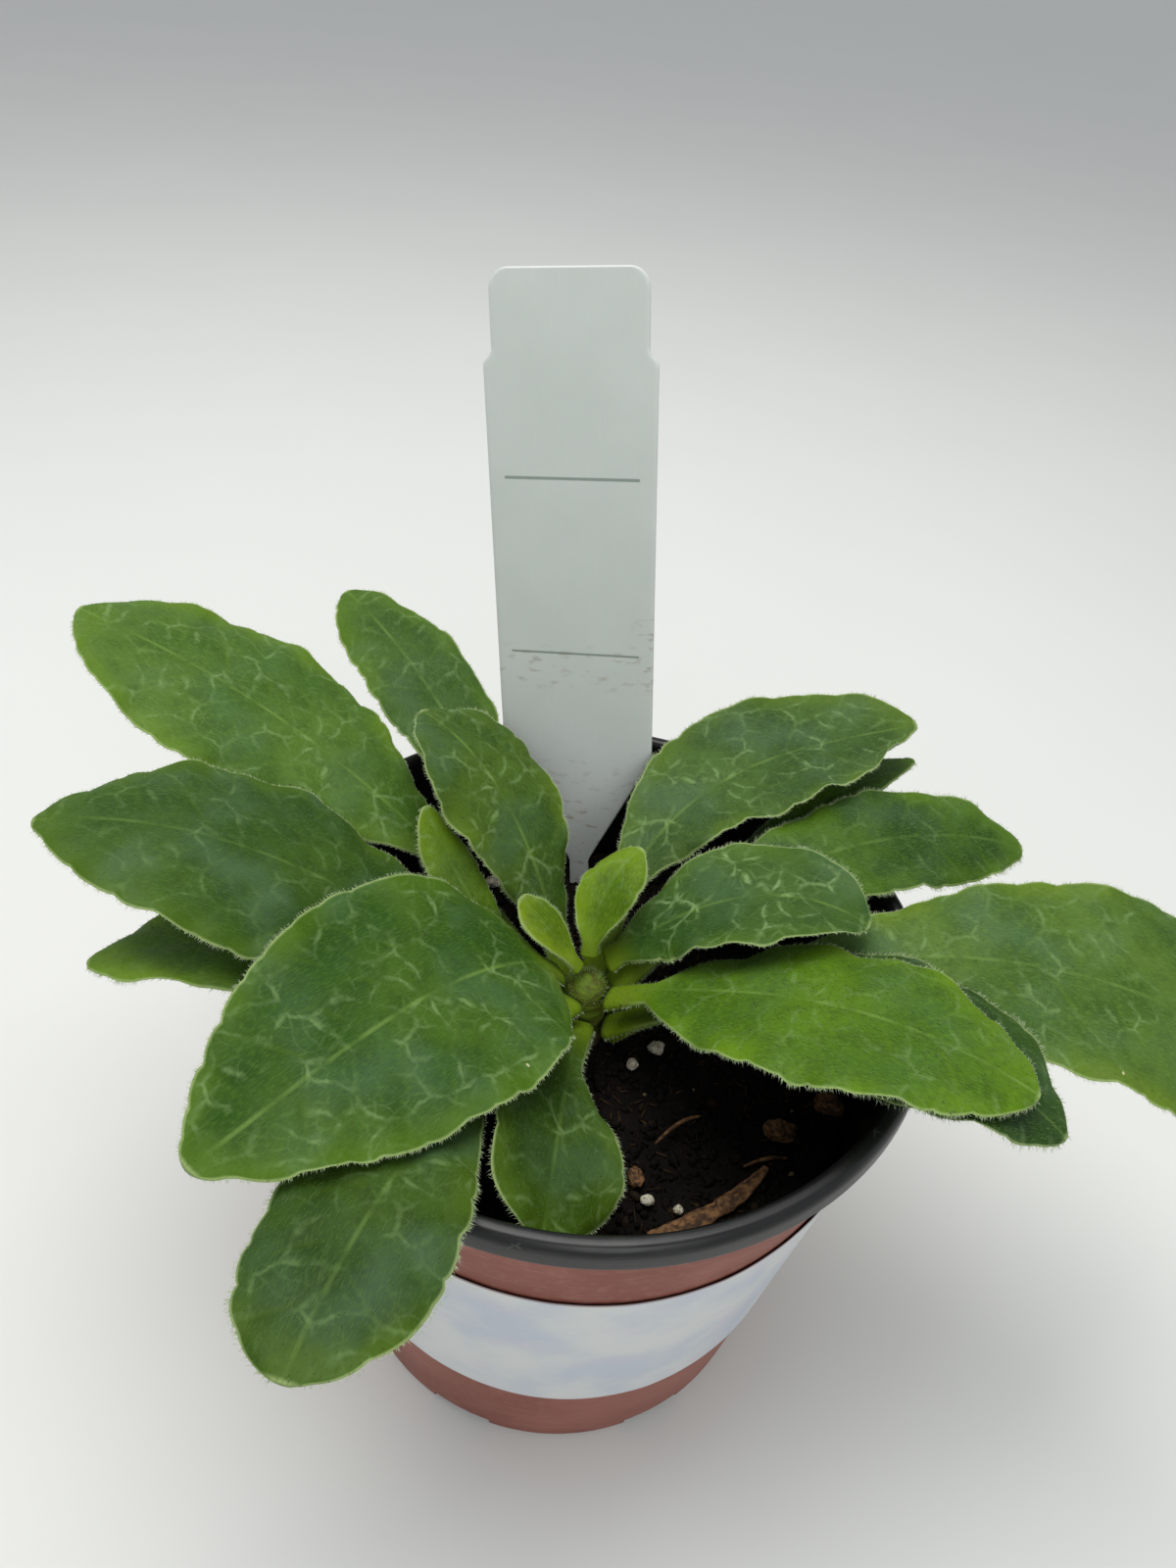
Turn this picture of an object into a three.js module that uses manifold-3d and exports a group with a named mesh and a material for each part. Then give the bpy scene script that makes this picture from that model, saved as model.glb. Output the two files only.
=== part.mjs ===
// A young primulina in a two-tone nursery pot, with potting mix, a stake tag and a wrap label.
// Millimetres, +Z up. The origin is the centre of the pot's base, on the surface it stands on.
import * as THREE from "three";
import { mergeVertices } from "three/addons/utils/BufferGeometryUtils.js";
import Module from "manifold-3d";

const wasm = await Module();
wasm.setup();

// Driving dimensions of the pot.
const POT_HEIGHT = 98.5;
const RIM_RADIUS = 57.5;
const RIM_BAND = 5;
const BASE_RADIUS = 43.1;
const WALL = 1.1;
const FLOOR = 1.2;
const RIM_FOLD = 3.2;
const WALL_TAPER = Math.atan(0.123);
const STEP_HEIGHT = 78.5;
const STEP_OUT = 0.4;
const DRAIN_COUNT = 7;
const DRAIN_FIRST = -108;
const DRAIN_SIZE = [9, 12, 6];
const POT_SIDES = 72;

// The potting mix and what lies on it.
const GAP = 0.3;
const SOIL_HEIGHT = 70;
const SOIL_SIDES = 48;

// The crown: a short stem with thick roots below the mix.
const CROWN_RADIUS = 4;
const CROWN_TOP = 87;
const CROWN_FOOT = 60;
const ROOT_COUNT = 5;
const ROOT_RADIUS = 1.2;

// The stake tag, drawn flat with Y up the tag from where its taper ends.
const TAG_THICKNESS = 0.8;
const TAG_PLACE = new THREE.Vector3(-3, 40, 76.5);
const TAG_YAW = -8;
const TAG_LEAN = 13.5;
const TAG_SIDEWAYS = -9;
const TAG_OFFSET = -2;
const TAG_HALF_TONGUE = 2;
const TAG_TONGUE = 18;
const TAG_SHOULDER = 23.5;
const TAG_HALF_SHOULDER = 15.1;
const TAG_HALF_FLARE = 15.7;
const TAG_FLARE = 98;
const TAG_HALF_HEAD = 14.1;
const TAG_TOP = 113;
const TAG_CORNER = 3.6;

// The wrap label, a flat strip bent round the cone.
const LABEL_LENGTH = 100;
const LABEL_HEIGHT = 48;
const LABEL_MIDDLE = 50;
const LABEL_CENTRE = -76;
const LABEL_THICKNESS = 0.3;

// The loose pieces: how rough a grain is, the bark strip along the wall, and the fibres.
const GRAIN_ROUGHNESS = 0.12;
const STRIP_RADIUS = 41.5;
const STRIP_START = -69;
const STRIP_TURN = 34;
const FIBRE_RADIUS = 0.35;

// Leaf build: stations along the midrib, and the blade's half thickness.
const MIDRIB_STEPS = 60;
const LEAF_STATIONS = 15;
const STALK_HALF_WIDTH = 2.8;
const YOUNG_STALK_HALF_WIDTH = 1.6;
const STALK_HALF_THICKNESS = 1.3;
const BLADE_HALF_THICKNESS = 0.65;
const TOP_SAMPLES = [-1, -0.66, -0.33, 0, 0.33, 0.66, 1];
const UNDER_SAMPLES = [0.5, 0, -0.5];

// Each leaf, from the outer whorl to the young centre. Angles are in degrees, sizes in millimetres.
// around: where on the crown it grows, counted from +X; height: of its foot.
// heading: of the midrib seen from above, at the foot and at the tip.
// rise: slope of the midrib at the foot, the middle and the tip.
// stalk: share of the length before the blade; belly and taper: powers of the blade's outline.
// twist: roll about the midrib at foot and tip; cup: how far the margins turn up.
const LEAVES = [
  { name: "leaf_back_left_outer", around: 156, height: 73.5, heading: [146, 174], rise: [43, 26, 16],
    length: 115, width: 39, stalk: 0.31, belly: 0.92, taper: 0.63, twist: [1, -3], cup: -6 },
  { name: "leaf_back_upright", around: 107, height: 75, heading: [126, 135], rise: [37, 23, 1],
    length: 101, width: 22, stalk: 0.22, belly: 1.07, taper: 0.61, twist: [0, 7], cup: -3 },
  { name: "leaf_left_outer", around: 176, height: 77, heading: [188, 192], rise: [32, 36, -9],
    length: 95, width: 41, stalk: 0.2, belly: 0.85, taper: 0.74, twist: [0, -2], cup: -8 },
  { name: "leaf_back_left_inner", around: 131, height: 79.5, heading: [119, 156], rise: [46, 44, 8],
    length: 58, width: 28, stalk: 0.14, belly: 1.1, taper: 0.6, twist: [0, -16], cup: 0 },
  { name: "leaf_left_inner", around: 196, height: 81, heading: [165, 134], rise: [34, 42, 51],
    length: 42, width: 10, stalk: 0.16, belly: 1, taper: 0.6, twist: [0, -8], cup: -8 },
  { name: "leaf_front_left_broad", around: 193, height: 87.5, heading: [229, 240], rise: [56, 9, 9],
    length: 77, width: 43, stalk: 0.06, belly: 0.55, taper: 0.74, twist: [11, 16], cup: 16 },
  { name: "leaf_front_left_hanging", around: 241, height: 84, heading: [242, 261], rise: [21, 18, -5],
    length: 85, width: 27, stalk: 0.3, belly: 1.3, taper: 0.58, twist: [1, -4], cup: -8 },
  { name: "leaf_front_small", around: 266, height: 79, heading: [267, 270], rise: [37, 16, -16],
    length: 51, width: 25, stalk: 0.34, belly: 1.16, taper: 0.66, twist: [1, 44], cup: 14 },
  { name: "leaf_right_front", around: 325, height: 85, heading: [-20, -27], rise: [40, 22, -12],
    length: 74, width: 34, stalk: 0.12, belly: 0.74, taper: 0.59, twist: [0, 10], cup: -6 },
  { name: "leaf_right_front_under", around: 326, height: 77, heading: [-9, -37], rise: [43, 24, -24],
    length: 83, width: 33, stalk: 0.21, belly: 0.82, taper: 0.64, twist: [0, 10], cup: 3 },
  { name: "leaf_right_outer", around: 350, height: 73.5, heading: [6, -11], rise: [44, 10, -39],
    length: 126, width: 42, stalk: 0.22, belly: 1.2, taper: 0.53, twist: [0, -11], cup: 5 },
  { name: "leaf_right_inner", around: 53, height: 86, heading: [19, -21], rise: [46, 29, -20],
    length: 50, width: 26, stalk: 0.06, belly: 0.76, taper: 0.61, twist: [0, 3], cup: 15 },
  { name: "leaf_back_right_broad", around: 76, height: 78, heading: [84, 1], rise: [63, 14, 23],
    length: 89, width: 34, stalk: 0.2, belly: 1, taper: 0.61, twist: [0, 7], cup: 20 },
  { name: "leaf_right_middle", around: 26, height: 82, heading: [34, 17], rise: [45, 10, -24],
    length: 90, width: 23, stalk: 0.18, belly: 0.91, taper: 0.62, twist: [0, -18], cup: -2 },
  { name: "leaf_back_right_under", around: 53, height: 73.5, heading: [43, 40], rise: [40, 24, -9],
    length: 83, width: 9, stalk: 0.28, belly: 0.95, taper: 0.61, twist: [0, 4], cup: -5 },
  { name: "leaf_left_under", around: 228, height: 73.5, heading: [194, 200], rise: [32, 30, -19],
    length: 84, width: 23, stalk: 0.25, belly: 0.88, taper: 0.63, twist: [0, -15], cup: -7 },
  { name: "leaf_young_centre", around: 95, height: 90, heading: [93, 42], rise: [66, 38, 17],
    length: 22, width: 12, stalk: 0.08, belly: 0.9, taper: 0.61, twist: [0, 15], cup: -5, young: true },
  { name: "leaf_bud", around: 190, height: 88.5, heading: [163, 163], rise: [50, 45, 40],
    length: 17, width: 8, stalk: 0.1, belly: 0.85, taper: 0.6, twist: [0, 10], cup: 20, young: true },
];

const radians = THREE.MathUtils.degToRad;
const mix = THREE.MathUtils.lerp;

// The pot wall's outer radius at a height.
function wallRadius(height) {
  return BASE_RADIUS + height * Math.tan(WALL_TAPER);
}

// The height of the potting mix at a distance from the pot's axis.
function soilHeight(radius) {
  return SOIL_HEIGHT + Math.cos(radius / 7) * 0.7;
}

// The volume under a triangle list, which is negative when its faces point inwards.
function signedVolume(points, faces) {
  return faces.reduce((sum, [a, b, c]) => {
    const cross = new THREE.Vector3().crossVectors(points[b], points[c]);
    return sum + points[a].dot(cross) / 6;
  }, 0);
}

// A closed surface from points and triangles, turned so that its faces point outwards.
function closedGeometry(points, faces) {
  const outward = signedVolume(points, faces) > 0;
  const order = faces.flatMap(([a, b, c]) => (outward ? [a, b, c] : [a, c, b]));
  const geometry = new THREE.BufferGeometry().setFromPoints(points);
  geometry.setIndex(order);
  geometry.computeVertexNormals();
  return geometry;
}

// Joins rings of equal length into a tube with both ends closed. A last ring of one point is a tip.
function loft(rings) {
  const count = rings[0].length;
  const points = rings.flat();
  const faces = [];
  for (let i = 0; i + 1 < rings.length; i++) {
    const here = i * count;
    const next = here + count;
    const isTip = rings[i + 1].length === 1;
    for (let j = 0; j < count; j++) {
      const k = (j + 1) % count;
      if (isTip) {
        faces.push([here + j, here + k, next]);
      } else {
        faces.push([here + j, here + k, next + k], [here + j, next + k, next + j]);
      }
    }
  }
  const lastRing = points.length - count;
  for (let j = 1; j + 1 < count; j++) {
    faces.push([0, j + 1, j]);
    if (rings.at(-1).length === count) {
      faces.push([lastRing, lastRing + j, lastRing + j + 1]);
    }
  }
  return closedGeometry(points, faces);
}

// A geometry as a manifold solid, and a manifold solid as a geometry.
function toSolid(geometry) {
  const bare = geometry.clone();
  bare.deleteAttribute("normal");
  bare.deleteAttribute("uv");
  const merged = mergeVertices(bare, 1e-4);
  return new wasm.Manifold(
    new wasm.Mesh({
      numProp: 3,
      vertProperties: merged.attributes.position.array,
      triVerts: new Uint32Array(merged.index.array),
    }),
  );
}

function toGeometry(solid) {
  const mesh = solid.getMesh();
  const geometry = new THREE.BufferGeometry();
  geometry.setAttribute("position", new THREE.BufferAttribute(mesh.vertProperties, 3));
  geometry.setIndex(new THREE.BufferAttribute(mesh.triVerts, 1));
  geometry.computeVertexNormals();
  return geometry;
}

// A solid of revolution about +Z from [radius, height] pairs that start and end on the axis.
function turned(profile, sides) {
  const outline = profile.map(([radius, height]) => new THREE.Vector2(radius, height));
  return new THREE.LatheGeometry(outline, sides).rotateX(Math.PI / 2);
}

function finish(color, roughness) {
  return new THREE.MeshStandardMaterial({ color, roughness, metalness: 0 });
}

const root = new THREE.Group();

function addPiece(name, geometry, material) {
  const mesh = new THREE.Mesh(geometry, material);
  mesh.name = name;
  root.add(mesh);
}

// The pot: one thin-walled cone with a folded rim band, a step under it, and drain slots.
function potGeometry() {
  const bandFoot = POT_HEIGHT - RIM_BAND;
  const innerRim = RIM_RADIUS - RIM_FOLD;
  const shell = toSolid(
    turned(
      [
        [0, 0],
        [BASE_RADIUS - 1, 0],
        [wallRadius(1), 1],
        [wallRadius(STEP_HEIGHT), STEP_HEIGHT],
        [wallRadius(STEP_HEIGHT) + STEP_OUT, STEP_HEIGHT + STEP_OUT],
        [wallRadius(bandFoot) + STEP_OUT, bandFoot],
        [RIM_RADIUS - 0.6, bandFoot],
        [RIM_RADIUS, bandFoot + 0.8],
        [RIM_RADIUS, POT_HEIGHT - 1.2],
        [RIM_RADIUS - 0.6, POT_HEIGHT - 0.3],
        [RIM_RADIUS - 1.5, POT_HEIGHT],
        [innerRim + 0.8, POT_HEIGHT],
        [innerRim, POT_HEIGHT - 0.8],
        [wallRadius(bandFoot) - WALL + 0.2, bandFoot - 1],
        [wallRadius(STEP_HEIGHT) - WALL, STEP_HEIGHT],
        [wallRadius(FLOOR) - WALL - 0.6, FLOOR],
        [0, FLOOR],
      ],
      POT_SIDES,
    ),
  );
  const slots = [];
  for (let i = 0; i < DRAIN_COUNT; i++) {
    const slot = new THREE.BoxGeometry(...DRAIN_SIZE);
    slot.translate(BASE_RADIUS, 0, 0);
    slot.rotateZ(radians(DRAIN_FIRST + (360 / DRAIN_COUNT) * i));
    slots.push(toSolid(slot));
  }
  return toGeometry(slots.reduce((pot, slot) => pot.subtract(slot), shell));
}

// The crown: a short stem, with thick roots that spread under the mix. grow makes it fatter all over.
function crownSolid(grow) {
  const radius = CROWN_RADIUS + grow;
  const stem = turned(
    [
      [0, CROWN_FOOT - grow],
      [radius - 1.2, CROWN_FOOT - grow],
      [radius, CROWN_FOOT + 4],
      [radius, CROWN_TOP - 3],
      [radius - 1, CROWN_TOP - 0.8],
      [0, CROWN_TOP],
    ],
    16,
  );
  const section = new THREE.Shape();
  section.absarc(0, 0, ROOT_RADIUS + grow, 0, 2 * Math.PI);
  let crown = toSolid(stem);
  for (let i = 0; i < ROOT_COUNT; i++) {
    const turn = (i / ROOT_COUNT) * 2 * Math.PI;
    const reach = 24 + 4 * (i % 2);
    const depth = CROWN_FOOT - 26 + 5 * (i % 3) - grow;
    const path = new THREE.CatmullRomCurve3([
      new THREE.Vector3(Math.cos(turn), Math.sin(turn), CROWN_FOOT + 6),
      new THREE.Vector3(7 * Math.cos(turn), 7 * Math.sin(turn), CROWN_FOOT - 1),
      new THREE.Vector3(reach * Math.cos(turn + 0.5), reach * Math.sin(turn + 0.5), depth),
    ]);
    const tube = new THREE.ExtrudeGeometry(section, { steps: 6, curveSegments: 6, extrudePath: path });
    crown = crown.add(toSolid(tube));
  }
  return crown;
}

// The tag's own axes: across it, up it and out of its front, at the place where its taper ends.
function tagMatrix() {
  const yaw = new THREE.Matrix4().makeRotationZ(radians(TAG_YAW));
  const lean = new THREE.Matrix4().makeRotationX(radians(90 - TAG_LEAN));
  const sideways = new THREE.Matrix4().makeRotationZ(radians(-TAG_SIDEWAYS));
  const place = new THREE.Matrix4().makeTranslation(TAG_PLACE);
  return place.multiply(yaw).multiply(lean).multiply(sideways);
}

// A flat outline, thickened evenly and stood where the tag stands.
function tagPiece(outline, thickness) {
  const geometry = new THREE.ExtrudeGeometry(outline, {
    depth: thickness,
    bevelEnabled: false,
    curveSegments: 4,
  });
  geometry.translate(TAG_OFFSET, 0, -thickness / 2);
  return geometry.applyMatrix4(tagMatrix());
}

// A stake: a narrow tongue, a taper to the shoulders, a slight flare, and a head with round corners.
function tagOutline() {
  const right = [
    [TAG_HALF_TONGUE, -TAG_TONGUE],
    [TAG_HALF_TONGUE, 0],
    [TAG_HALF_SHOULDER, TAG_SHOULDER],
    [TAG_HALF_FLARE, TAG_FLARE],
    [TAG_HALF_HEAD, TAG_FLARE + 1],
    [TAG_HALF_HEAD, TAG_TOP - TAG_CORNER],
  ];
  const outline = new THREE.Shape();
  outline.moveTo(-TAG_HALF_TONGUE, -TAG_TONGUE);
  right.forEach(([x, y]) => outline.lineTo(x, y));
  outline.quadraticCurveTo(TAG_HALF_HEAD - 0.4, TAG_TOP, TAG_HALF_HEAD - TAG_CORNER, TAG_TOP);
  outline.lineTo(TAG_CORNER - TAG_HALF_HEAD, TAG_TOP);
  outline.quadraticCurveTo(0.4 - TAG_HALF_HEAD, TAG_TOP, -TAG_HALF_HEAD, TAG_TOP - TAG_CORNER);
  right.slice(1, -1).reverse().forEach(([x, y]) => outline.lineTo(-x, y));
  return outline;
}

// The slot that the tag's tongue leaves in the mix.
function tongueSolid() {
  const width = TAG_HALF_TONGUE + GAP;
  const slot = new THREE.Shape();
  slot.moveTo(-width, -TAG_TONGUE - GAP);
  slot.lineTo(width, -TAG_TONGUE - GAP);
  slot.lineTo(width, 0);
  slot.lineTo(-width, 0);
  return toSolid(tagPiece(slot, TAG_THICKNESS + 2 * GAP));
}

// The potting mix: it fills the pot to its own uneven top, and is open where stem and tag go in.
function soilGeometry() {
  const top = [];
  for (const share of [0.97, 0.8, 0.6, 0.4, 0.2]) {
    const radius = share * wallRadius(SOIL_HEIGHT);
    top.push([radius, soilHeight(radius)]);
  }
  const side = wallRadius(SOIL_HEIGHT) - WALL - GAP - 0.1;
  const profile = [
    [0, FLOOR + GAP],
    [wallRadius(FLOOR) - WALL - 1.2, FLOOR + GAP],
    [side - 0.1, SOIL_HEIGHT - 1],
    ...top.filter(([radius]) => radius < side - 0.2),
    [0, SOIL_HEIGHT],
  ];
  const body = toSolid(turned(profile, SOIL_SIDES));
  return toGeometry(body.subtract(crownSolid(GAP + 0.1)).subtract(tongueSolid()));
}

// The label: a straight strip laid on the cone's flat development, so that its ends rise a little.
function labelGeometry() {
  const slant = wallRadius(LABEL_MIDDLE) / Math.sin(WALL_TAPER);
  const onCone = (across, up, out) => {
    const distance = Math.hypot(across, slant + up);
    const turn = Math.atan2(across, slant + up) / Math.sin(WALL_TAPER) + radians(LABEL_CENTRE);
    const radius = distance * Math.sin(WALL_TAPER) + out;
    const height = LABEL_MIDDLE + (distance - slant) * Math.cos(WALL_TAPER);
    return new THREE.Vector3(radius * Math.cos(turn), radius * Math.sin(turn), height);
  };
  const sections = [];
  const steps = 36;
  for (let i = 0; i <= steps; i++) {
    const across = (i / steps - 0.5) * LABEL_LENGTH;
    sections.push([
      onCone(across, -LABEL_HEIGHT / 2, GAP),
      onCone(across, -LABEL_HEIGHT / 2, GAP + LABEL_THICKNESS),
      onCone(across, LABEL_HEIGHT / 2, GAP + LABEL_THICKNESS),
      onCone(across, LABEL_HEIGHT / 2, GAP),
    ]);
  }
  return loft(sections);
}

// The value at share u of a length, of the curve through values at its start, middle and end.
function throughThree([start, middle, end], u) {
  return start * (1 - u) * (1 - 2 * u) + middle * 4 * u * (1 - u) + end * u * (2 * u - 1);
}

// A leaf's frames along its midrib: the point, the direction across and the direction up.
function midribFrames(leaf) {
  const foot = leaf.young ? 1.8 : CROWN_RADIUS + 0.65 + 1.4 * Math.sin(radians(leaf.rise[0]));
  const around = radians(leaf.around);
  const point = new THREE.Vector3(foot * Math.cos(around), foot * Math.sin(around), leaf.height);
  const frames = [];
  let before = null;
  for (let i = 0; i <= MIDRIB_STEPS; i++) {
    const u = i / MIDRIB_STEPS;
    const rise = radians(throughThree(leaf.rise, u));
    const heading = radians(mix(leaf.heading[0], leaf.heading[1], u));
    const along = new THREE.Vector3(
      Math.cos(rise) * Math.cos(heading),
      Math.cos(rise) * Math.sin(heading),
      Math.sin(rise),
    );
    if (before) {
      point.addScaledVector(before.add(along), leaf.length / MIDRIB_STEPS / 2);
    }
    const twist = radians(mix(leaf.twist[0], leaf.twist[1], u));
    const across = new THREE.Vector3(Math.sin(heading), -Math.cos(heading), 0);
    across.applyAxisAngle(along, -twist);
    const up = new THREE.Vector3().crossVectors(across, along);
    frames.push({ u, point: point.clone(), across, up });
    before = along;
  }
  return frames;
}

// The blade's outline, from 0 at the stalk to 1 at its widest and 0 at the tip.
function outlineShare(leaf, t) {
  const widest = leaf.belly / (leaf.belly + leaf.taper);
  return (t / widest) ** leaf.belly * ((1 - t) / (1 - widest)) ** leaf.taper;
}

// A leaf: lens-shaped sections along the midrib, thick at the stalk and thin in the blade.
function leafGeometry(leaf) {
  const frames = midribFrames(leaf);
  const stalkHalf = leaf.young ? YOUNG_STALK_HALF_WIDTH : STALK_HALF_WIDTH;
  const rings = [];
  for (let i = 0; i < LEAF_STATIONS; i++) {
    const share = 1 - (1 - i / LEAF_STATIONS) ** 1.5;
    const { u, point, across, up } = frames[Math.round(share * MIDRIB_STEPS)];
    const t = Math.max(0, (u - leaf.stalk) / (1 - leaf.stalk));
    const half = Math.hypot(stalkHalf * Math.sqrt(1 - u), (leaf.width / 2) * outlineShare(leaf, t));
    const stalkness = Math.max(0, 1 - u / (leaf.stalk + 0.25)) ** 2;
    const core = mix(BLADE_HALF_THICKNESS, STALK_HALF_THICKNESS, stalkness) * (leaf.young ? 0.8 : 1);
    const bend = radians(leaf.cup) * Math.min(1, 4 * t);
    const sectionPoint = (v, side) => {
      const reach = half * Math.abs(v);
      const slope = bend * Math.abs(v);
      const thick = side * core * Math.sqrt(1 - Math.abs(v) ** 3);
      const sideways = Math.sign(v) * (reach * Math.cos(slope / 2) - thick * Math.sin(slope));
      const height = reach * Math.sin(slope / 2) + thick * Math.cos(slope);
      return point.clone().addScaledVector(across, sideways).addScaledVector(up, height);
    };
    rings.push([
      ...TOP_SAMPLES.map((v) => sectionPoint(v, 1)),
      ...UNDER_SAMPLES.map((v) => sectionPoint(v, -1)),
    ]);
  }
  rings.push([frames.at(-1).point]);
  return loft(rings);
}

// A rough grain: a coarse ball pushed in and out by crossed waves, then stretched.
function grainGeometry(size, seed) {
  const loose = new THREE.IcosahedronGeometry(1, 1);
  loose.deleteAttribute("uv");
  loose.deleteAttribute("normal");
  const ball = mergeVertices(loose);
  const place = ball.attributes.position;
  const vertex = new THREE.Vector3();
  for (let i = 0; i < place.count; i++) {
    vertex.fromBufferAttribute(place, i);
    const crossed = Math.sin(3 * vertex.x + seed) * Math.cos(4 * vertex.y - seed);
    const wave = crossed + Math.sin(5 * vertex.z + 2 * seed);
    vertex.multiplyScalar(1 + GRAIN_ROUGHNESS * wave);
    place.setXYZ(i, vertex.x * size[0], vertex.y * size[1], vertex.z * size[2]);
  }
  return ball;
}

// The pieces that lie on the mix: name, place, half sizes, turn in degrees, colour.
const GRAINS = [
  { name: "perlite_front", x: 14.2, y: -1.5, size: [1.6, 1.4, 1.2], turn: 20, color: "#b9b6a4" },
  { name: "perlite_small", x: 10.2, y: -6, size: [1.1, 1, 0.9], turn: 70, color: "#a5a391" },
  { name: "perlite_rim", x: 14.4, y: -32.6, size: [1.2, 1, 0.9], turn: 10, color: "#c3c0b0" },
  { name: "perlite_crumb", x: 19.6, y: -33.4, size: [0.9, 0.8, 0.7], turn: 45, color: "#b3b09d" },
  { name: "perlite_back", x: -22, y: 34, size: [1.5, 1.3, 1.1], turn: 0, color: "#b9b6a4" },
  { name: "perlite_left", x: -36, y: 12, size: [1.3, 1.1, 1], turn: 30, color: "#aba994" },
  { name: "bark_chip_right", x: 45.2, y: -9.8, size: [2.6, 2.2, 1.6], turn: 35, color: "#6d5638" },
  { name: "bark_chip_front", x: 12.4, y: -28.6, size: [1.7, 1.3, 1], turn: 80, color: "#5b4630" },
  { name: "bark_chip_middle", x: 36.6, y: -16.4, size: [3.4, 1.4, 1.2], turn: -25, color: "#4c3c2a" },
  { name: "bark_chip_back", x: 20, y: 38, size: [3, 1.8, 1.3], turn: 60, color: "#5b4630" },
  { name: "bark_chip_left", x: -32, y: -18, size: [2.6, 2, 1.4], turn: 15, color: "#5b4630" },
];

function grainPiece({ x, y, size, turn }, seed) {
  const height = soilHeight(Math.hypot(x, y)) + GAP + 1.35 * size[2];
  return grainGeometry(size, seed).rotateZ(radians(turn)).translate(x, y, height);
}

// A strip of bark that lies along the wall: a flat section carried round a short arc.
function barkStripGeometry() {
  const height = soilHeight(STRIP_RADIUS) + GAP + 0.5;
  const sections = [];
  for (let i = 0; i <= 8; i++) {
    const turn = radians(STRIP_START + STRIP_TURN * (i / 8));
    const half = 1.7 - 0.9 * Math.abs(i / 4 - 1) ** 2;
    const corner = (out, up) => {
      const reach = STRIP_RADIUS + out;
      return new THREE.Vector3(reach * Math.cos(turn), reach * Math.sin(turn), height + up);
    };
    sections.push([corner(-half, 0.2), corner(half, 0.7), corner(half * 0.8, 1.5), corner(-half, 1)]);
  }
  return loft(sections);
}

// A fibre: a thin bent twig lying on the mix.
function twigGeometry(from, to, lift) {
  const section = new THREE.Shape();
  section.absarc(0, 0, FIBRE_RADIUS, 0, 2 * Math.PI);
  const height = SOIL_HEIGHT + 1.5;
  const path = new THREE.CatmullRomCurve3([
    new THREE.Vector3(from[0], from[1], height),
    new THREE.Vector3((from[0] + to[0]) / 2 + 1, (from[1] + to[1]) / 2 + 1, height + lift),
    new THREE.Vector3(to[0], to[1], height + 0.2),
  ]);
  return new THREE.ExtrudeGeometry(section, { steps: 6, curveSegments: 3, extrudePath: path });
}

addPiece("pot", potGeometry(), finish("#7a5a50", 0.55));
addPiece("pot_label", labelGeometry(), finish("#c8cdd2", 0.5));
addPiece("soil", soilGeometry(), finish("#1d1814", 0.95));
addPiece("crown", toGeometry(crownSolid(0)), finish("#6d7f3d", 0.6));
addPiece("plant_tag", tagPiece(tagOutline(), TAG_THICKNESS), finish("#bdc4be", 0.45));
LEAVES.forEach((leaf) => {
  addPiece(leaf.name, leafGeometry(leaf), finish(leaf.young ? "#6d8c3f" : "#4a6b2e", 0.6));
});
GRAINS.forEach((grain, i) => {
  addPiece(grain.name, grainPiece(grain, i), finish(grain.color, 0.9));
});
addPiece("bark_strip", barkStripGeometry(), finish("#6b5334", 0.85));
addPiece("fibre_front", twigGeometry([15, -22], [23, -15], 1.2), finish("#6a4f33", 0.9));
addPiece("fibre_right", twigGeometry([30, -24], [38, -21], 0.8), finish("#6a4f33", 0.9));

export default root;
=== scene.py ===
# %% [markdown]
# # A young primulina in a two-tone nursery pot
# The plant is a rosette of fleshy, finely haired leaves that grow from one short crown.
# It stands in a thin-walled, two-colour nursery pot with a stake tag and a wrap label.
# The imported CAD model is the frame: it fixes where each piece is and how big it is.
# Each piece is then worked out again here as a much finer surface, and given its finish.

import math

import bmesh
import bpy
import numpy as np
from mathutils import Matrix, Vector


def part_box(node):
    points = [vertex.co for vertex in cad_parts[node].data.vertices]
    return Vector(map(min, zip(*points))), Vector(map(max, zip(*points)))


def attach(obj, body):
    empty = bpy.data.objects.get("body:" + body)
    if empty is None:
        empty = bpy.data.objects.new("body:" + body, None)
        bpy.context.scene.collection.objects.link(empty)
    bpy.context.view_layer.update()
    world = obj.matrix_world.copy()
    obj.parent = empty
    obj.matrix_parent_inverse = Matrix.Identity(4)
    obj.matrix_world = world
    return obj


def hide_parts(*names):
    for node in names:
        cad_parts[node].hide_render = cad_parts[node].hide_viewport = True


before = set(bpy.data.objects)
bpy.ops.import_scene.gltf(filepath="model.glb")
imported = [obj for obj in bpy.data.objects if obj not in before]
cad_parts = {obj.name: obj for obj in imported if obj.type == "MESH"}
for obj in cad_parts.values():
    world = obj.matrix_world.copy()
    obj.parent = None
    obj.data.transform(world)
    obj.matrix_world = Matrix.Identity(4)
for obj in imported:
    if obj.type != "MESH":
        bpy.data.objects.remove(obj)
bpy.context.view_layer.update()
MM = 0.001

# %% [markdown]
# A mesh is only arrays: points, and faces that name their points by number.
# Whole arrays are handed over at once, which is far quicker than adding corners one by one.
# Extra arrays, such as how far a point is from a leaf's margin, become attributes for the shaders.


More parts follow.
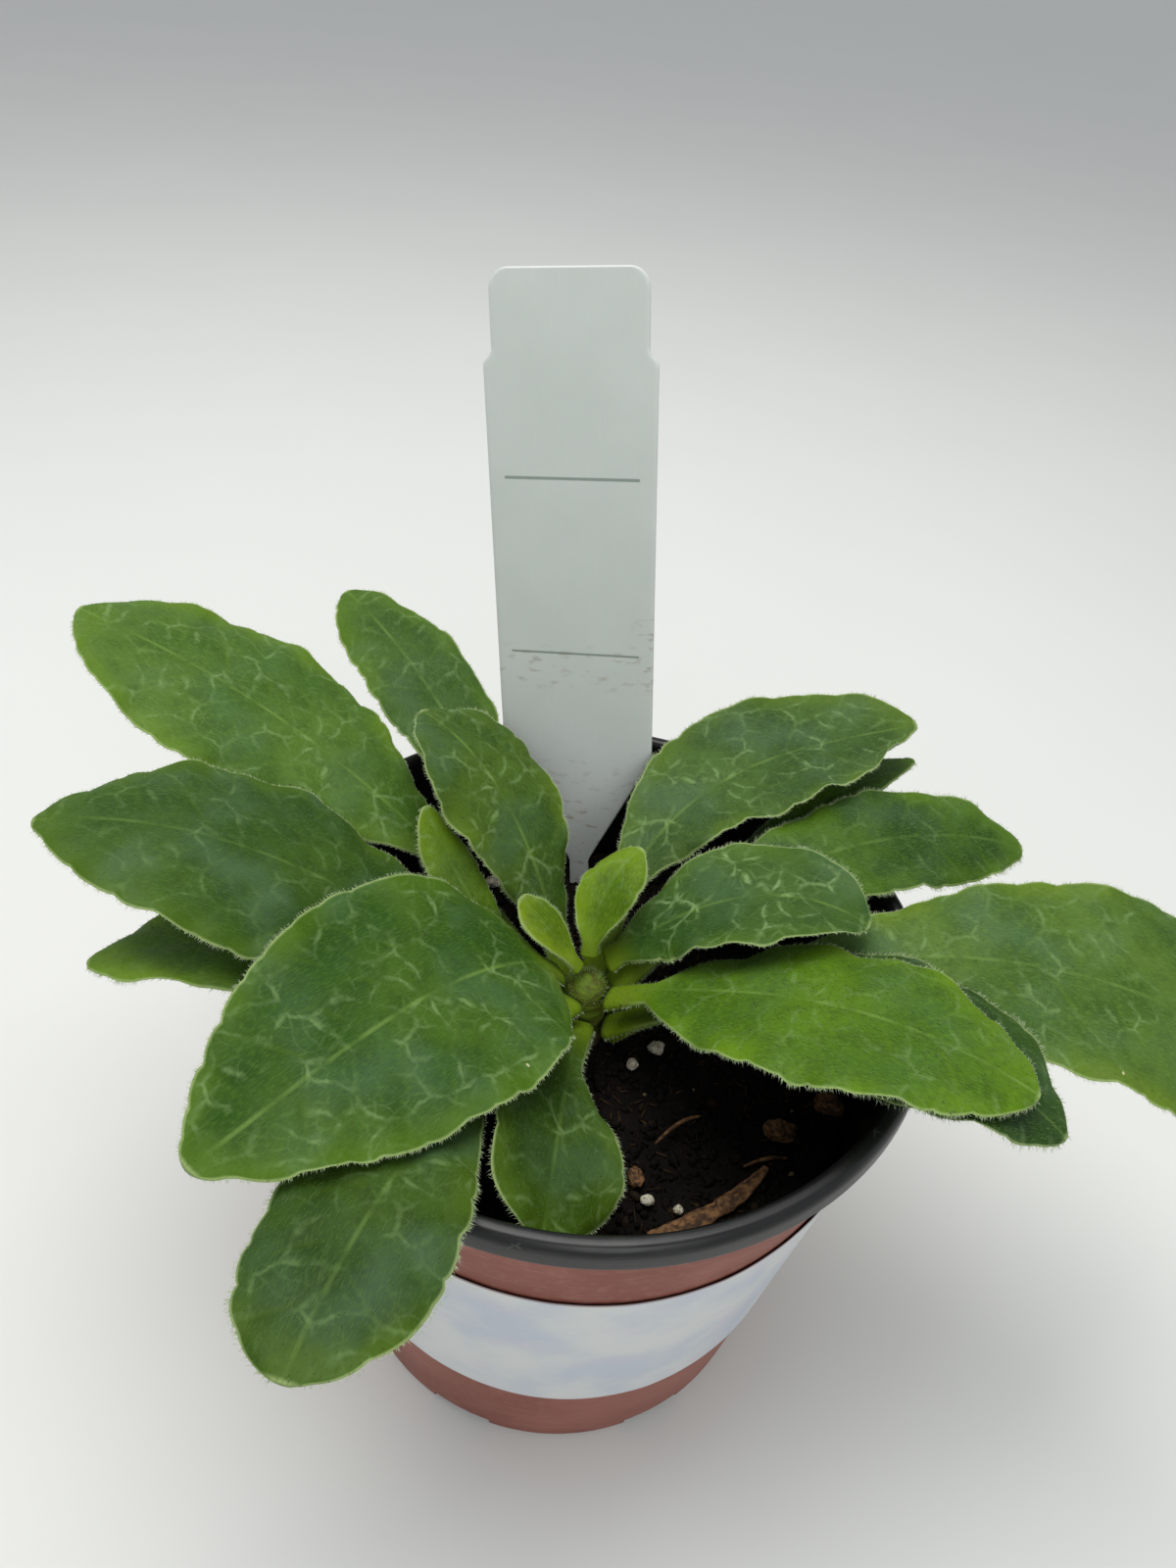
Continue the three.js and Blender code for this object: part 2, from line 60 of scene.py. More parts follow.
# %% Turn arrays into a mesh
def make_mesh(name, points, quads, triangles, attributes=None, parts=None):
    """Points in millimetres, faces as rows of point numbers, and parts as each face's material number."""
    quads = np.asarray(quads, np.int32).reshape(-1, 4)
    triangles = np.asarray(triangles, np.int32).reshape(-1, 3)
    corners = np.concatenate([quads.ravel(), triangles.ravel()])
    sizes = np.concatenate([np.full(len(quads), 4), np.full(len(triangles), 3)])
    mesh = bpy.data.meshes.new(name)
    mesh.vertices.add(len(points))
    mesh.vertices.foreach_set("co", (np.asarray(points) * MM).astype(np.float32).ravel())
    mesh.loops.add(len(corners))
    mesh.polygons.add(len(sizes))
    starts = np.concatenate([[0], np.cumsum(sizes)[:-1]]).astype(np.int32)
    mesh.polygons.foreach_set("loop_start", starts)
    mesh.polygons.foreach_set("vertices", corners)
    if parts is not None:
        mesh.polygons.foreach_set("material_index", np.asarray(parts, np.int32))
    for label, values in (attributes or {}).items():
        flat = np.asarray(values, np.float32)
        kind, field = ("FLOAT", "value") if flat.ndim == 1 else ("FLOAT_VECTOR", "vector")
        mesh.attributes.new(label, kind, "POINT").data.foreach_set(field, flat.ravel())
    mesh.update(calc_edges=True)
    mesh.shade_smooth()
    return mesh


def place(mesh, node, slot, *finishes, sharp=40):
    """Puts a finished mesh in the scene in place of a CAD node, and prints how far their boxes differ."""
    piece = bpy.data.objects.new(mesh.name, mesh)
    bpy.context.scene.collection.objects.link(piece)
    for finish in finishes:
        mesh.materials.append(finish.material)
    mesh.set_sharp_from_angle(angle=math.radians(sharp))
    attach(piece, "root")
    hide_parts(node)
    co = np.zeros(len(mesh.vertices) * 3, np.float32)
    mesh.vertices.foreach_get("co", co)
    co = co.reshape(-1, 3)
    low, high = (np.array(corner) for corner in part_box(node))
    off = np.concatenate([low - co.min(0), co.max(0) - high]) / MM
    print(f"{piece.name}: {len(mesh.polygons)} faces, beyond the CAD box by {off.max():.2f} mm at most")
    return piece


# %% [markdown]
# Three ways of building cover nearly every piece of this object.
# A closed sheet has an upper and a lower skin that meet at its edges, as a leaf or a tag does.
# A turned form is a profile carried round the pot's axis, and a tube is a ring carried along a path.
# All three leave the ring of faces closed, so there is no seam, and end in a single point or a fan.


# %% Closed sheets, turned forms and tubes
def ring_faces(rows, count, start=0):
    """Quads between neighbouring rings of count points, with the last point joined to the first."""
    i, j = np.meshgrid(np.arange(rows - 1), np.arange(count), indexing="ij")
    here = start + i * count
    k = (j + 1) % count
    return np.stack([here + j, here + k, here + count + k, here + count + j], -1).reshape(-1, 4)


def cap_faces(first, count, pole, turned_round):
    """A fan of triangles from a pole to a ring. It faces back along the rings or, turned round, onwards."""
    j = np.arange(count)
    k = (j + 1) % count
    ring = (first + j, first + k) if turned_round else (first + k, first + j)
    return np.stack([*ring, np.full(count, pole)], -1)


def closed_rings(rings, foot, tip):
    """Rings of points in order, closed by a pole before the first and a pole after the last."""
    rows, count = rings.shape[:2]
    points = np.concatenate([rings.reshape(-1, 3), [foot, tip]])
    near = cap_faces(0, count, rows * count, False)
    far = cap_faces((rows - 1) * count, count, rows * count + 1, True)
    return points, ring_faces(rows, count), np.concatenate([near, far])


def over_and_under(top, under):
    """Rows that run over the top from one edge to the other and back under it. The edges are shared."""
    return np.concatenate([top, under[:, -2:0:-1]], axis=1)


def closed_sheet(top, under, foot=None, tip=None):
    """Rings that run over the top skin and back along the under one, closed by a point at each end."""
    rings = over_and_under(top, under)
    foot = rings[0].mean(0) if foot is None else foot
    tip = rings[-1].mean(0) if tip is None else tip
    return closed_rings(rings, foot, tip)


def turned(profile, sides):
    """A profile of [radius, height] rows carried round the Z axis, on which it starts and ends."""
    profile = np.asarray(profile, float)
    turn = np.arange(sides) / sides * 2 * np.pi
    radius, height = profile[1:-1, 0, None], profile[1:-1, 1, None]
    rings = np.stack([radius * np.cos(turn), radius * np.sin(turn), height + 0 * turn], -1)
    return closed_rings(rings, [0, 0, profile[0, 1]], [0, 0, profile[-1, 1]])


def tube(path, radii, sides=10):
    """A ring of changing radius carried along a path, square to its direction at each point."""
    path = np.asarray(path, float)
    along = np.gradient(path, axis=0)
    along /= np.linalg.norm(along, axis=1, keepdims=True)
    aside = np.cross(along, [0.13, 0.21, 0.97])
    aside /= np.linalg.norm(aside, axis=1, keepdims=True)
    above = np.cross(aside, along)
    turn = np.arange(sides) / sides * 2 * np.pi
    reach = np.asarray(radii, float)[:, None, None]
    spread = aside[:, None] * np.cos(turn)[:, None] - above[:, None] * np.sin(turn)[:, None]
    return closed_rings(path[:, None] + reach * spread, path[0], path[-1])


def joined(*solids):
    """Several closed solids as one mesh: the point numbers of each are moved on past those before it."""
    points, quads, triangles, shift = [], [], [], 0
    for p, q, t in solids:
        points.append(p)
        quads.append(np.asarray(q, np.int32).reshape(-1, 4) + shift)
        triangles.append(np.asarray(t, np.int32).reshape(-1, 3) + shift)
        shift += len(p)
    return np.concatenate(points), np.concatenate(quads), np.concatenate(triangles)


def smooth_step(low, high, x):
    """0 below low, 1 above high, and 3 t squared less 2 t cubed between them."""
    t = np.clip((x - low) / (high - low), 0, 1)
    return t * t * (3 - 2 * t)


NET_CELLS = 97  # the net of random heights repeats after this many cells
NET_SHIFT = 500  # cells, so that every place on a piece has a positive number


def lumps(x, y, size, seed):
    """Random heights from -1 to 1 where the threads of a square net cross, joined by smooth steps."""
    net = np.random.default_rng(seed).uniform(-1, 1, (NET_CELLS, NET_CELLS))
    gx, gy = np.asarray(x) / size + NET_SHIFT, np.asarray(y) / size + NET_SHIFT
    ix, iy = np.floor(gx).astype(int), np.floor(gy).astype(int)
    sx, sy = smooth_step(0, 1, gx - ix), smooth_step(0, 1, gy - iy)

    def row(k):
        j = (iy + k) % NET_CELLS
        return net[ix % NET_CELLS, j] * (1 - sx) + net[(ix + 1) % NET_CELLS, j] * sx

    return row(0) * (1 - sy) + row(1) * sy


print("builders ready")

# %% [markdown]
# Finishes are node trees, and long chains of Math nodes are hard to read.
# A small class wraps one socket, so that a sum of two wires adds the Math node by itself.
# Every other kind of node is added by one method, which sets its settings first and then its sockets.
# A finish is mostly one colour laid over another where a mask says so, and a loop does that.


# %% Write shader maths as Python
class Wire:
    """What comes out of a socket. Arithmetic on wires and numbers adds Math nodes."""

    def __init__(self, finish, socket):
        self.finish = finish
        self.socket = socket

    def __add__(self, other):
        return self.finish.math("ADD", self, other)

    def __sub__(self, other):
        return self.finish.math("SUBTRACT", self, other)

    def __rsub__(self, other):
        return self.finish.math("SUBTRACT", other, self)

    def __mul__(self, other):
        return self.finish.math("MULTIPLY", self, other)

    def __truediv__(self, other):
        return self.finish.math("DIVIDE", self, other)

    def __abs__(self):
        return self.finish.math("ABSOLUTE", self)

    def smooth(self, low, high):
        """0 where the wire is below low, 1 where it is above high, and an S-shaped rise between them."""
        sockets = {"Value": self, "From Min": low, "From Max": high}
        return self.finish.node("MapRange", {"interpolation_type": "SMOOTHSTEP"}, sockets)

    __radd__ = __add__
    __rmul__ = __mul__


class Finish:
    """A material in the making. The constants are set on the shader's own sockets."""

    def __init__(self, name, **constants):
        self.material = bpy.data.materials.new(name)
        self.material.use_nodes = True
        self.tree = self.material.node_tree
        self.shader = self.tree.nodes["Principled BSDF"]
        for label, value in constants.items():
            self.feed(self.shader.inputs[label.replace("_", " ")], value)

    def feed(self, socket, value):
        """Links a wire to a socket, or sets the socket to a value."""
        if isinstance(value, Wire):
            self.tree.links.new(value.socket, socket)
        elif socket.type == "RGBA":
            socket.default_value = (*value[:3], 1)
        else:
            socket.default_value = value

    def node(self, kind, settings=None, sockets=None, output=0):
        """Adds a node of any kind, and gives the wire that comes out of one of its outputs."""
        made = self.tree.nodes.new("ShaderNode" + kind)
        for label, value in (settings or {}).items():
            setattr(made, label, value)
        for label, value in (sockets or {}).items():
            self.feed(made.inputs[label], value)
        return Wire(self, made.outputs[output])

    def math(self, operation, a, b=0.0):
        return self.node("Math", {"operation": operation}, {0: a, 1: b})

    def mix(self, factor, a, b):
        """The colour a where the factor is 0, and b where it is 1."""
        return self.node("Mix", {"data_type": "RGBA"}, {0: factor, 6: a, 7: b}, 2)

    def layered(self, colour, *layers):
        """A colour with others laid over it in turn, each as far as its own mask says."""
        for mask, over in layers:
            colour = self.mix(mask, colour, over)
        return colour

    def noise(self, where, scale, detail=2.0, output="Fac"):
        return self.node("TexNoise", {}, {"Vector": where, "Scale": scale, "Detail": detail}, output)

    def cells(self, where, scale, feature="F1", dimensions="3D", output="Distance"):
        settings = {"feature": feature, "voronoi_dimensions": dimensions}
        return self.node("TexVoronoi", settings, {"Vector": where, "Scale": scale}, output)

    def stretched(self, where, scale):
        """A place multiplied along each axis. A small number there draws a pattern out along that axis."""
        return self.node("VectorMath", {"operation": "MULTIPLY"}, {0: where, 1: scale})

    def object_millimetres(self):
        """The place on the piece, in millimetres."""
        return self.stretched(self.node("TexCoord", output="Object"), (1000, 1000, 1000))

    def attribute(self, label, output="Fac"):
        return self.node("Attribute", {"attribute_name": label}, output=output)

    def split(self, vector):
        """The X, Y and Z of a vector."""
        made = self.node("SeparateXYZ", {}, {0: vector}).socket.node
        return [Wire(self, out) for out in made.outputs]

    def dress(self, colour, roughness=None, height=None, depth=0.2, strength=1.0):
        """Feeds the colour, the roughness and a bump whose full height is a depth in millimetres."""
        self.feed(self.shader.inputs["Base Color"], colour)
        if roughness is not None:
            self.feed(self.shader.inputs["Roughness"], roughness)
        if height is not None:
            sockets = {"Height": height, "Distance": depth * MM, "Strength": strength}
            self.feed(self.shader.inputs["Normal"], self.node("Bump", {}, sockets))
        return self


def paint(*chart):
    """A colour as a paint chart gives it, from 0 to 255, in the linear values that a shader takes."""
    return tuple(((c / 255 + 0.055) / 1.055) ** 2.4 if c > 10 else c / 3294.6 for c in chart)


print("shader helpers ready")

# %% [markdown]
# The pot is moulded in one piece, with a brick-coloured outside and a black inside.
# The wall tapers, steps out a little near the top and folds into a rounded rim band.
# A lathe profile with eased corners gives that, and a Boolean cuts the drain slots at the foot.

# %% Pot dimensions and its profile
POT_HEIGHT = 98.5
RIM_RADIUS = 57.5
BASE_RADIUS = 43.1
WALL = 1.1
TAPER = math.atan(0.123)
STEP_HEIGHT = 78.5
STEP = 0.4  # how far the wall steps out there
BAND_FOOT = 93.5
FLOOR = 1.2
EASE_ROWS = 5


def wall_radius(height):
    """The radius of the outside of the wall, which grows evenly with height."""
    return BASE_RADIUS + height * math.tan(TAPER)


def eased(corners):
    """Each corner (radius, height, ease) gives way to a parabola that starts and ends an ease away."""
    path = []
    spots = [np.array(c[:2], float) for c in corners]
    for i, corner in enumerate(corners):
        if corner[2] == 0:
            path.append(spots[i])
            continue
        before, after = spots[i - 1] - spots[i], spots[i + 1] - spots[i]
        start = spots[i] + before / np.linalg.norm(before) * corner[2]
        end = spots[i] + after / np.linalg.norm(after) * corner[2]
        t = np.linspace(0, 1, EASE_ROWS)[:, None]
        path.extend((1 - t) ** 2 * start + 2 * t * (1 - t) * spots[i] + t**2 * end)
    return np.array(path)


outer = [
    (0, 0, 0),
    (BASE_RADIUS - 1, 0, 0.5),
    (wall_radius(1), 1, 0.5),
    (wall_radius(2.6), 2.6, 0),
    (wall_radius(3.4), 3.4, 0),
    (wall_radius(5), 5, 0),
    (wall_radius(26), 26, 0),
    (wall_radius(52), 52, 0),
    (wall_radius(STEP_HEIGHT), STEP_HEIGHT, 0.3),
    (wall_radius(STEP_HEIGHT) + STEP, STEP_HEIGHT + STEP, 0.25),
    (wall_radius(86) + STEP, 86, 0),
    (wall_radius(BAND_FOOT) + STEP, BAND_FOOT - 0.2, 0.25),
]
inner = [
    (RIM_RADIUS - 0.5, BAND_FOOT, 0.3),
    (RIM_RADIUS, BAND_FOOT + 0.7, 0.3),
    (RIM_RADIUS, POT_HEIGHT - 1.2, 0.7),
    (RIM_RADIUS - 1, POT_HEIGHT, 0.5),
    (RIM_RADIUS - 2.5, POT_HEIGHT, 0.6),
    (RIM_RADIUS - 3.2, POT_HEIGHT - 1, 0.5),
    (wall_radius(BAND_FOOT) - WALL + 0.2, BAND_FOOT - 1, 0.6),
    (wall_radius(STEP_HEIGHT) - WALL, STEP_HEIGHT, 0.3),
    (wall_radius(40) - WALL - 0.3, 40, 0),
    (wall_radius(FLOOR) - WALL - 0.6, FLOOR, 0.4),
    (0, FLOOR, 0),
]
pot_path = eased(outer + inner)
outside_rows = sum(EASE_ROWS if ease else 1 for _, _, ease in outer)
print("pot profile:", len(pot_path), "points")

# %% [markdown]
# The outside of the pot is matt and dusty: clay-coloured plastic with paler bloom, and dirt near its foot.
# The black rim is smoother, with fine scuffs that run round it and a few pale nicks.
# Noise that is squeezed along the height gives scuffs that run round the pot.

# %% Finishes of the pot
clay = Finish("brick_plastic", Specular_IOR_Level=0.25)
spot = clay.object_millimetres()
up = clay.split(spot)[2]
bloom_and_sheen = clay.noise(spot, 0.035, 4)
dust = clay.noise(spot, 0.6, 6)
scuffs = clay.noise(clay.stretched(spot, (0.12, 0.12, 1.6)), 1, 5)
grit = clay.noise(spot, 1.1, 1).smooth(0.78, 0.84) * (1 - up.smooth(8, 45))
colour = clay.layered(
    paint(126, 72, 60),
    (bloom_and_sheen.smooth(0.35, 0.68), paint(146, 92, 80)),
    (dust.smooth(0.45, 0.75) * 0.35, paint(160, 116, 104)),
    (scuffs.smooth(0.56, 0.75) * 0.3, paint(170, 130, 118)),
    (grit * 0.85, paint(38, 28, 24)),
)
clay.dress(colour, 0.5 + dust * 0.2 - scuffs * 0.1, dust + scuffs * 0.5, 0.05, 0.7)

black = Finish("black_plastic", Specular_IOR_Level=0.42)
spot = black.object_millimetres()
scuffs = black.noise(black.stretched(spot, (0.1, 0.1, 2.4)), 1, 6)
haze = black.noise(spot, 0.12, 4)
nicks = black.noise(black.stretched(spot, (0.14, 0.14, 0.5)), 1, 1).smooth(0.7, 0.74)
nicks = nicks * (1 - black.cells(spot, 0.32, "DISTANCE_TO_EDGE").smooth(0.01, 0.05))
up = black.split(spot)[2]
splash = black.noise(spot, 0.9, 3).smooth(0.6, 0.7) * (1 - up.smooth(76, 92))
colour = black.layered(
    paint(11, 11, 12),
    (haze, paint(20, 20, 21)),
    (scuffs.smooth(0.55, 0.72) * 0.4, paint(58, 57, 56)),
    (nicks * 0.2, paint(120, 118, 114)),
    (splash * 0.7, paint(58, 46, 36)),
)
black.dress(colour, 0.24 + haze * 0.2 + splash * 0.3, scuffs, 0.05, 0.5)
print("pot finishes ready")

# %% Build the pot
POT_SIDES = 144
points, quads, triangles = turned(pot_path, POT_SIDES)
rows = np.repeat(np.arange(len(pot_path) - 3), POT_SIDES)
parts = np.concatenate([rows >= outside_rows - 1, np.zeros(POT_SIDES), np.ones(POT_SIDES)])
pot_mesh = make_mesh("pot_shell", points, quads, triangles, parts=parts)
pot = place(pot_mesh, "pot", "pot_shell", clay, black)


# %% Cut the drain slots
DRAIN_SLOTS = 7
FIRST_SLOT = -108  # degrees round from +X
SLOT_BOX = (9, 12, 6)  # through the wall, along it and up; the lower half of the box is under the pot


def drain_cutter():
    """Boxes that straddle the foot of the wall, spaced evenly round it."""
    cutter = bmesh.new()
    outwards = Matrix.Translation((BASE_RADIUS * MM, 0, 0))
    size = Matrix.Diagonal((*(side * MM for side in SLOT_BOX), 1))
    for i in range(DRAIN_SLOTS):
        turn = Matrix.Rotation(math.radians(FIRST_SLOT + 360 / DRAIN_SLOTS * i), 4, "Z")
        bmesh.ops.create_cube(cutter, size=1, matrix=turn @ outwards @ size)
    mesh = bpy.data.meshes.new("drain_cutter")
    cutter.to_mesh(mesh)
    cutter.free()
    return mesh


cutter = bpy.data.objects.new("drain_cutter", drain_cutter())
bpy.context.scene.collection.objects.link(cutter)
cut = pot.modifiers.new("drains", "BOOLEAN")
cut.object = cutter
cut.solver = "EXACT"
finished = bpy.data.meshes.new_from_object(pot.evaluated_get(bpy.context.evaluated_depsgraph_get()))
pot.modifiers.remove(cut)
pot.data = finished
bpy.data.objects.remove(cutter)
print("pot with drain slots:", len(finished.polygons), "faces")

# %% [markdown]
# The wrap label is a straight strip of pale film pressed on to a cone, so its ends climb a little.
# Unrolled, the cone is a flat fan: a point of the strip keeps its distance and angle from the fan's centre.
# It is left bare, with the soft cloudy print and the small ripples that such film has.

# %% Build the label
LABEL_LENGTH = 100
LABEL_HEIGHT = 48
LABEL_MIDDLE = 50  # how high its middle line is on the pot
LABEL_TURN = -76  # degrees round from +X
LABEL_LIFT = 0.42  # how far the film lies off the wall
FILM = 0.15
slant = wall_radius(LABEL_MIDDLE) / math.sin(TAPER)


def on_cone(across, up, out):
    """A point of the flat strip, laid on the cone and lifted off it by out."""
    distance = np.hypot(across, slant + up)
    turn = np.arctan2(across, slant + up) / math.sin(TAPER) + math.radians(LABEL_TURN)
    radius = distance * math.sin(TAPER) + out
    height = LABEL_MIDDLE + (distance - slant) * math.cos(TAPER)
    return np.stack([radius * np.cos(turn), radius * np.sin(turn), height + 0 * turn], -1)


across, up = np.meshgrid(
    np.linspace(-LABEL_LENGTH / 2, LABEL_LENGTH / 2, 161),
    np.sin(np.linspace(-np.pi / 2, np.pi / 2, 45)) * LABEL_HEIGHT / 2,
    indexing="ij",
)
ripple = 0.07 * lumps(across, up, 9, 5) + 0.03 * lumps(across, up, 3, 6)
film = FILM * np.sqrt(1 - (2 * np.abs(up) / LABEL_HEIGHT) ** 60)
under = on_cone(across, up, LABEL_LIFT + ripple * 0.7 - film * 0.6)
top = on_cone(across, up, LABEL_LIFT + ripple * 0.7 + film)
points, quads, triangles = closed_sheet(under, top)
plan = np.stack([across, up, 0 * up], -1)
plan = over_and_under(plan, plan).reshape(-1, 3)
plan = np.concatenate([plan, [plan[0], plan[-1]]])
label_mesh = make_mesh("pot_label_film", points, quads, triangles, {"plan": plan})

label_film = Finish("pale_label_film", Specular_IOR_Level=0.5)
plan = label_film.attribute("plan", "Vector")
up = label_film.split(plan)[1]
cloud = label_film.noise(plan, 0.05, 3).smooth(0.4, 0.65)
wisps = label_film.noise(label_film.stretched(plan, (0.06, 0.14, 1)), 1, 4).smooth(0.5, 0.7)
scuffs = label_film.noise(label_film.stretched(plan, (0.3, 2.0, 1)), 1, 5)
# The thin maroon line along the film's top and bottom edges is painted shade, standing in for the gap where
# the film lies off the wall.
edge = abs(up).smooth(LABEL_HEIGHT / 2 - 0.6, LABEL_HEIGHT / 2 - 0.1)
colour = label_film.layered(
    paint(206, 209, 208),
    (cloud, paint(186, 194, 205)),
    (wisps * 0.5, paint(198, 192, 206)),
    (scuffs.smooth(0.6, 0.75) * 0.5, paint(232, 233, 232)),
    (edge * 0.8, paint(118, 82, 82)),
)
label_film.dress(colour, 0.34 + scuffs * 0.15, label_film.noise(plan, 0.25, 2), 0.12, 0.5)
place(label_mesh, "pot_label", "label_film", label_film)

# %% [markdown]
# Potting mix is mostly dark peat: small crumbs of many sizes, with torn brown fibres among them.
# A smooth disc with soil painted on it looks false from close by, so the crumbs are real solids.
# Each crumb is a rough ball of twenty faces, and thousands of them share one mesh and one finish.


# %% Scatter crumbs and fibres
SOIL_HEIGHT = 70
CRUMBS = 4200
SMALLEST_CRUMB = 0.35
LARGEST_CRUMB = 1.55
CRUMB_REACH = 49.2  # from the axis
FIBRES = 900
FIBRE_REACH = 46


def soil_height(radius):
    """The mix lies in faint rings: a cosine of the distance from the middle."""
    return SOIL_HEIGHT + np.cos(radius / 7) * 0.7


def even_ball(subdivisions):
    """The corners and faces of a ball of radius one. At one subdivision it has twelve and twenty."""
    ball = bmesh.new()
    bmesh.ops.create_icosphere(ball, subdivisions=subdivisions, radius=1)
    points = np.array([v.co for v in ball.verts])
    faces = np.array([[v.index for v in f.verts] for f in ball.faces])
    ball.free()
    return points, faces


NO_QUADS = np.zeros((0, 4), int)


def spikes(roots, directions, lengths, width, seed):
    """Thin three-sided spikes: a small triangle about each root, and one far point along its direction."""
    rng = np.random.default_rng(seed)
    directions = directions / np.linalg.norm(directions, axis=1, keepdims=True)
    aside = np.cross(directions, rng.normal(size=roots.shape))
    aside /= np.linalg.norm(aside, axis=1, keepdims=True)
    above = np.cross(directions, aside)
    turn = np.arange(3) / 3 * 2 * np.pi
    ring = aside[:, None] * np.cos(turn)[:, None] + above[:, None] * np.sin(turn)[:, None]
    base = roots[:, None] + ring * width
    tips = roots + directions * lengths[:, None]
    points = np.concatenate([base, tips[:, None]], axis=1).reshape(-1, 3)
    pattern = np.array([[0, 1, 3], [1, 2, 3], [2, 0, 3], [0, 2, 1]])
    faces = np.arange(len(roots))[:, None, None] * 4 + pattern
    return points, NO_QUADS, faces.reshape(-1, 3)


def crumbs(count, seed):
    """Rough balls of mixed size, each squashed and turned its own way, lying on the mix."""
    rng = np.random.default_rng(seed)
    ball, faces = even_ball(1)
    size = SMALLEST_CRUMB * (LARGEST_CRUMB / SMALLEST_CRUMB) ** (rng.random(count) ** 1.7)
    radius = np.sqrt(rng.uniform(0.012, 1, count)) * (CRUMB_REACH - size)
    turn = rng.uniform(0, 2 * np.pi, count)
    frames = np.linalg.qr(rng.normal(size=(count, 3, 3)))[0]
    rough = ball[None] * rng.uniform(0.75, 1.2, (count, 12, 1))
    rough = rough * np.array([1, 0.8, 0.6])
    rough = np.einsum("cij,cvj->cvi", frames, rough) * size[:, None, None]
    lift = soil_height(radius) + 0.15 * size + rng.uniform(-0.3, 0.25, count)
    centre = np.stack([radius * np.cos(turn), radius * np.sin(turn), lift], -1)
    points = (rough + centre[:, None]).reshape(-1, 3)
    flipped = np.linalg.det(frames) < 0
    faces = np.where(flipped[:, None, None], faces[None, :, ::-1], faces[None])
    faces = faces + 12 * np.arange(count)[:, None, None]
    return (points, NO_QUADS, faces.reshape(-1, 3)), np.repeat(rng.random(count), 12)


crumb_solid, crumb_tone = crumbs(CRUMBS, 11)
rng = np.random.default_rng(12)
radius = np.sqrt(rng.uniform(0.02, 1, FIBRES)) * FIBRE_REACH
turn = rng.uniform(0, 2 * np.pi, FIBRES)
roots = np.stack([radius * np.cos(turn), radius * np.sin(turn), soil_height(radius) + 0.5], -1)
lie = np.stack([*rng.normal(size=(2, FIBRES)), rng.uniform(-0.1, 0.35, FIBRES)], -1)
fibre_solid = spikes(roots, lie, rng.uniform(1.2, 4.6, FIBRES), 0.13, 13)
print("crumbs:", CRUMBS, "fibres:", FIBRES)

# %% Build the potting mix under them
SOIL_SIDE = wall_radius(SOIL_HEIGHT) - WALL - 0.5
SOIL_FOOT = FLOOR + 0.4
rim_down = [
    (SOIL_SIDE - 1.2, soil_height(SOIL_SIDE)),
    (SOIL_SIDE - 0.1, 69.2),
    (42.0, 3.0),
    (40.8, SOIL_FOOT),
]
profile = [(0, SOIL_FOOT), *rim_down[::-1]]
profile += [(r, soil_height(r)) for r in np.linspace(SOIL_SIDE - 2, 0, 100)]
points, quads, triangles = turned(profile, 240)
x, y, z = points.T
on_top = (np.hypot(x, y) < SOIL_SIDE - 1.5) & (z > 60)
rolling = 0.35 * lumps(x, y, 6, 1) + 0.3 * lumps(x, y, 2, 2) + 0.16 * lumps(x, y, 0.8, 3)
points[:, 2] += np.where(on_top, rolling, 0)
solid = joined((points, quads, triangles), crumb_solid, fibre_solid)
tone = np.concatenate([np.full(len(points), 0.3), crumb_tone, np.full(FIBRES * 4, 2.0)])
mix_mesh = make_mesh("potting_mix", *solid, {"tone": tone})

peat = Finish("potting_mix", Specular_IOR_Level=0.12)
spot = peat.object_millimetres()
tone = peat.attribute("tone")
clumps = peat.noise(spot, 0.16, 4)
grain = peat.noise(spot, 2.2, 5)
fibre_brown = peat.mix(clumps.smooth(0.4, 0.65), paint(26, 19, 13), paint(88, 64, 38))
colour = peat.layered(
    paint(7, 6, 5),
    (grain.smooth(0.35, 0.7), paint(22, 18, 14)),
    (clumps.smooth(0.5, 0.72) * 0.4, paint(28, 22, 17)),
    (tone.smooth(0.88, 0.94) * 0.5, paint(52, 38, 25)),
    (tone.smooth(0.988, 0.992) * 0.7, paint(140, 124, 94)),
    (tone.smooth(1.4, 1.6), fibre_brown),
)
peat.dress(colour, 0.75 + grain * 0.2, grain, 0.3, 0.8)
place(mix_mesh, "soil", "potting_mix", peat, sharp=180)

# %% [markdown]
# Pale beads of perlite and chips of bark lie loose on the mix.
# Each starts as an even ball, is pushed in and out by crossed waves, and is fitted to its CAD node's box.
# Perlite is pitted and chalky; bark is layered, so its noise is squeezed in one direction.


# %% Build the loose grains
def grain_solid(node, roughness, seed):
    """A ball whose radius is 1 plus crossed waves of four sizes, stretched to fill the node's box."""
    points, faces = even_ball(4)
    rng = np.random.default_rng(seed)
    swell = np.zeros(len(points))
    for size in (2.2, 4.5, 9, 17):
        way = rng.normal(size=(3, 3)) * size / 1.7
        shift = rng.uniform(0, 6, 3)
        swell += np.prod(np.sin(points @ way + shift), axis=1) * 2.6 / size
    points = points * (1 + roughness * swell)[:, None]
    low, high = (np.array(corner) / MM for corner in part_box(node))
    points = (points - points.min(0)) / np.ptp(points, axis=0) * (high - low) + low
    return points, NO_QUADS, faces


chalk = Finish("perlite", Specular_IOR_Level=0.2)
spot = chalk.object_millimetres()
pits = chalk.cells(spot, 2.1).smooth(0.1, 0.42)
stain = chalk.noise(spot, 0.8, 4).smooth(0.45, 0.7)
colour = chalk.layered(
    paint(150, 142, 118),
    (pits, paint(206, 201, 182)),
    (stain * 0.6, paint(150, 132, 100)),
)
chalk.dress(colour, 0.8 + stain * 0.15, pits + chalk.noise(spot, 4, 4) * 0.5, 0.25, 0.9)

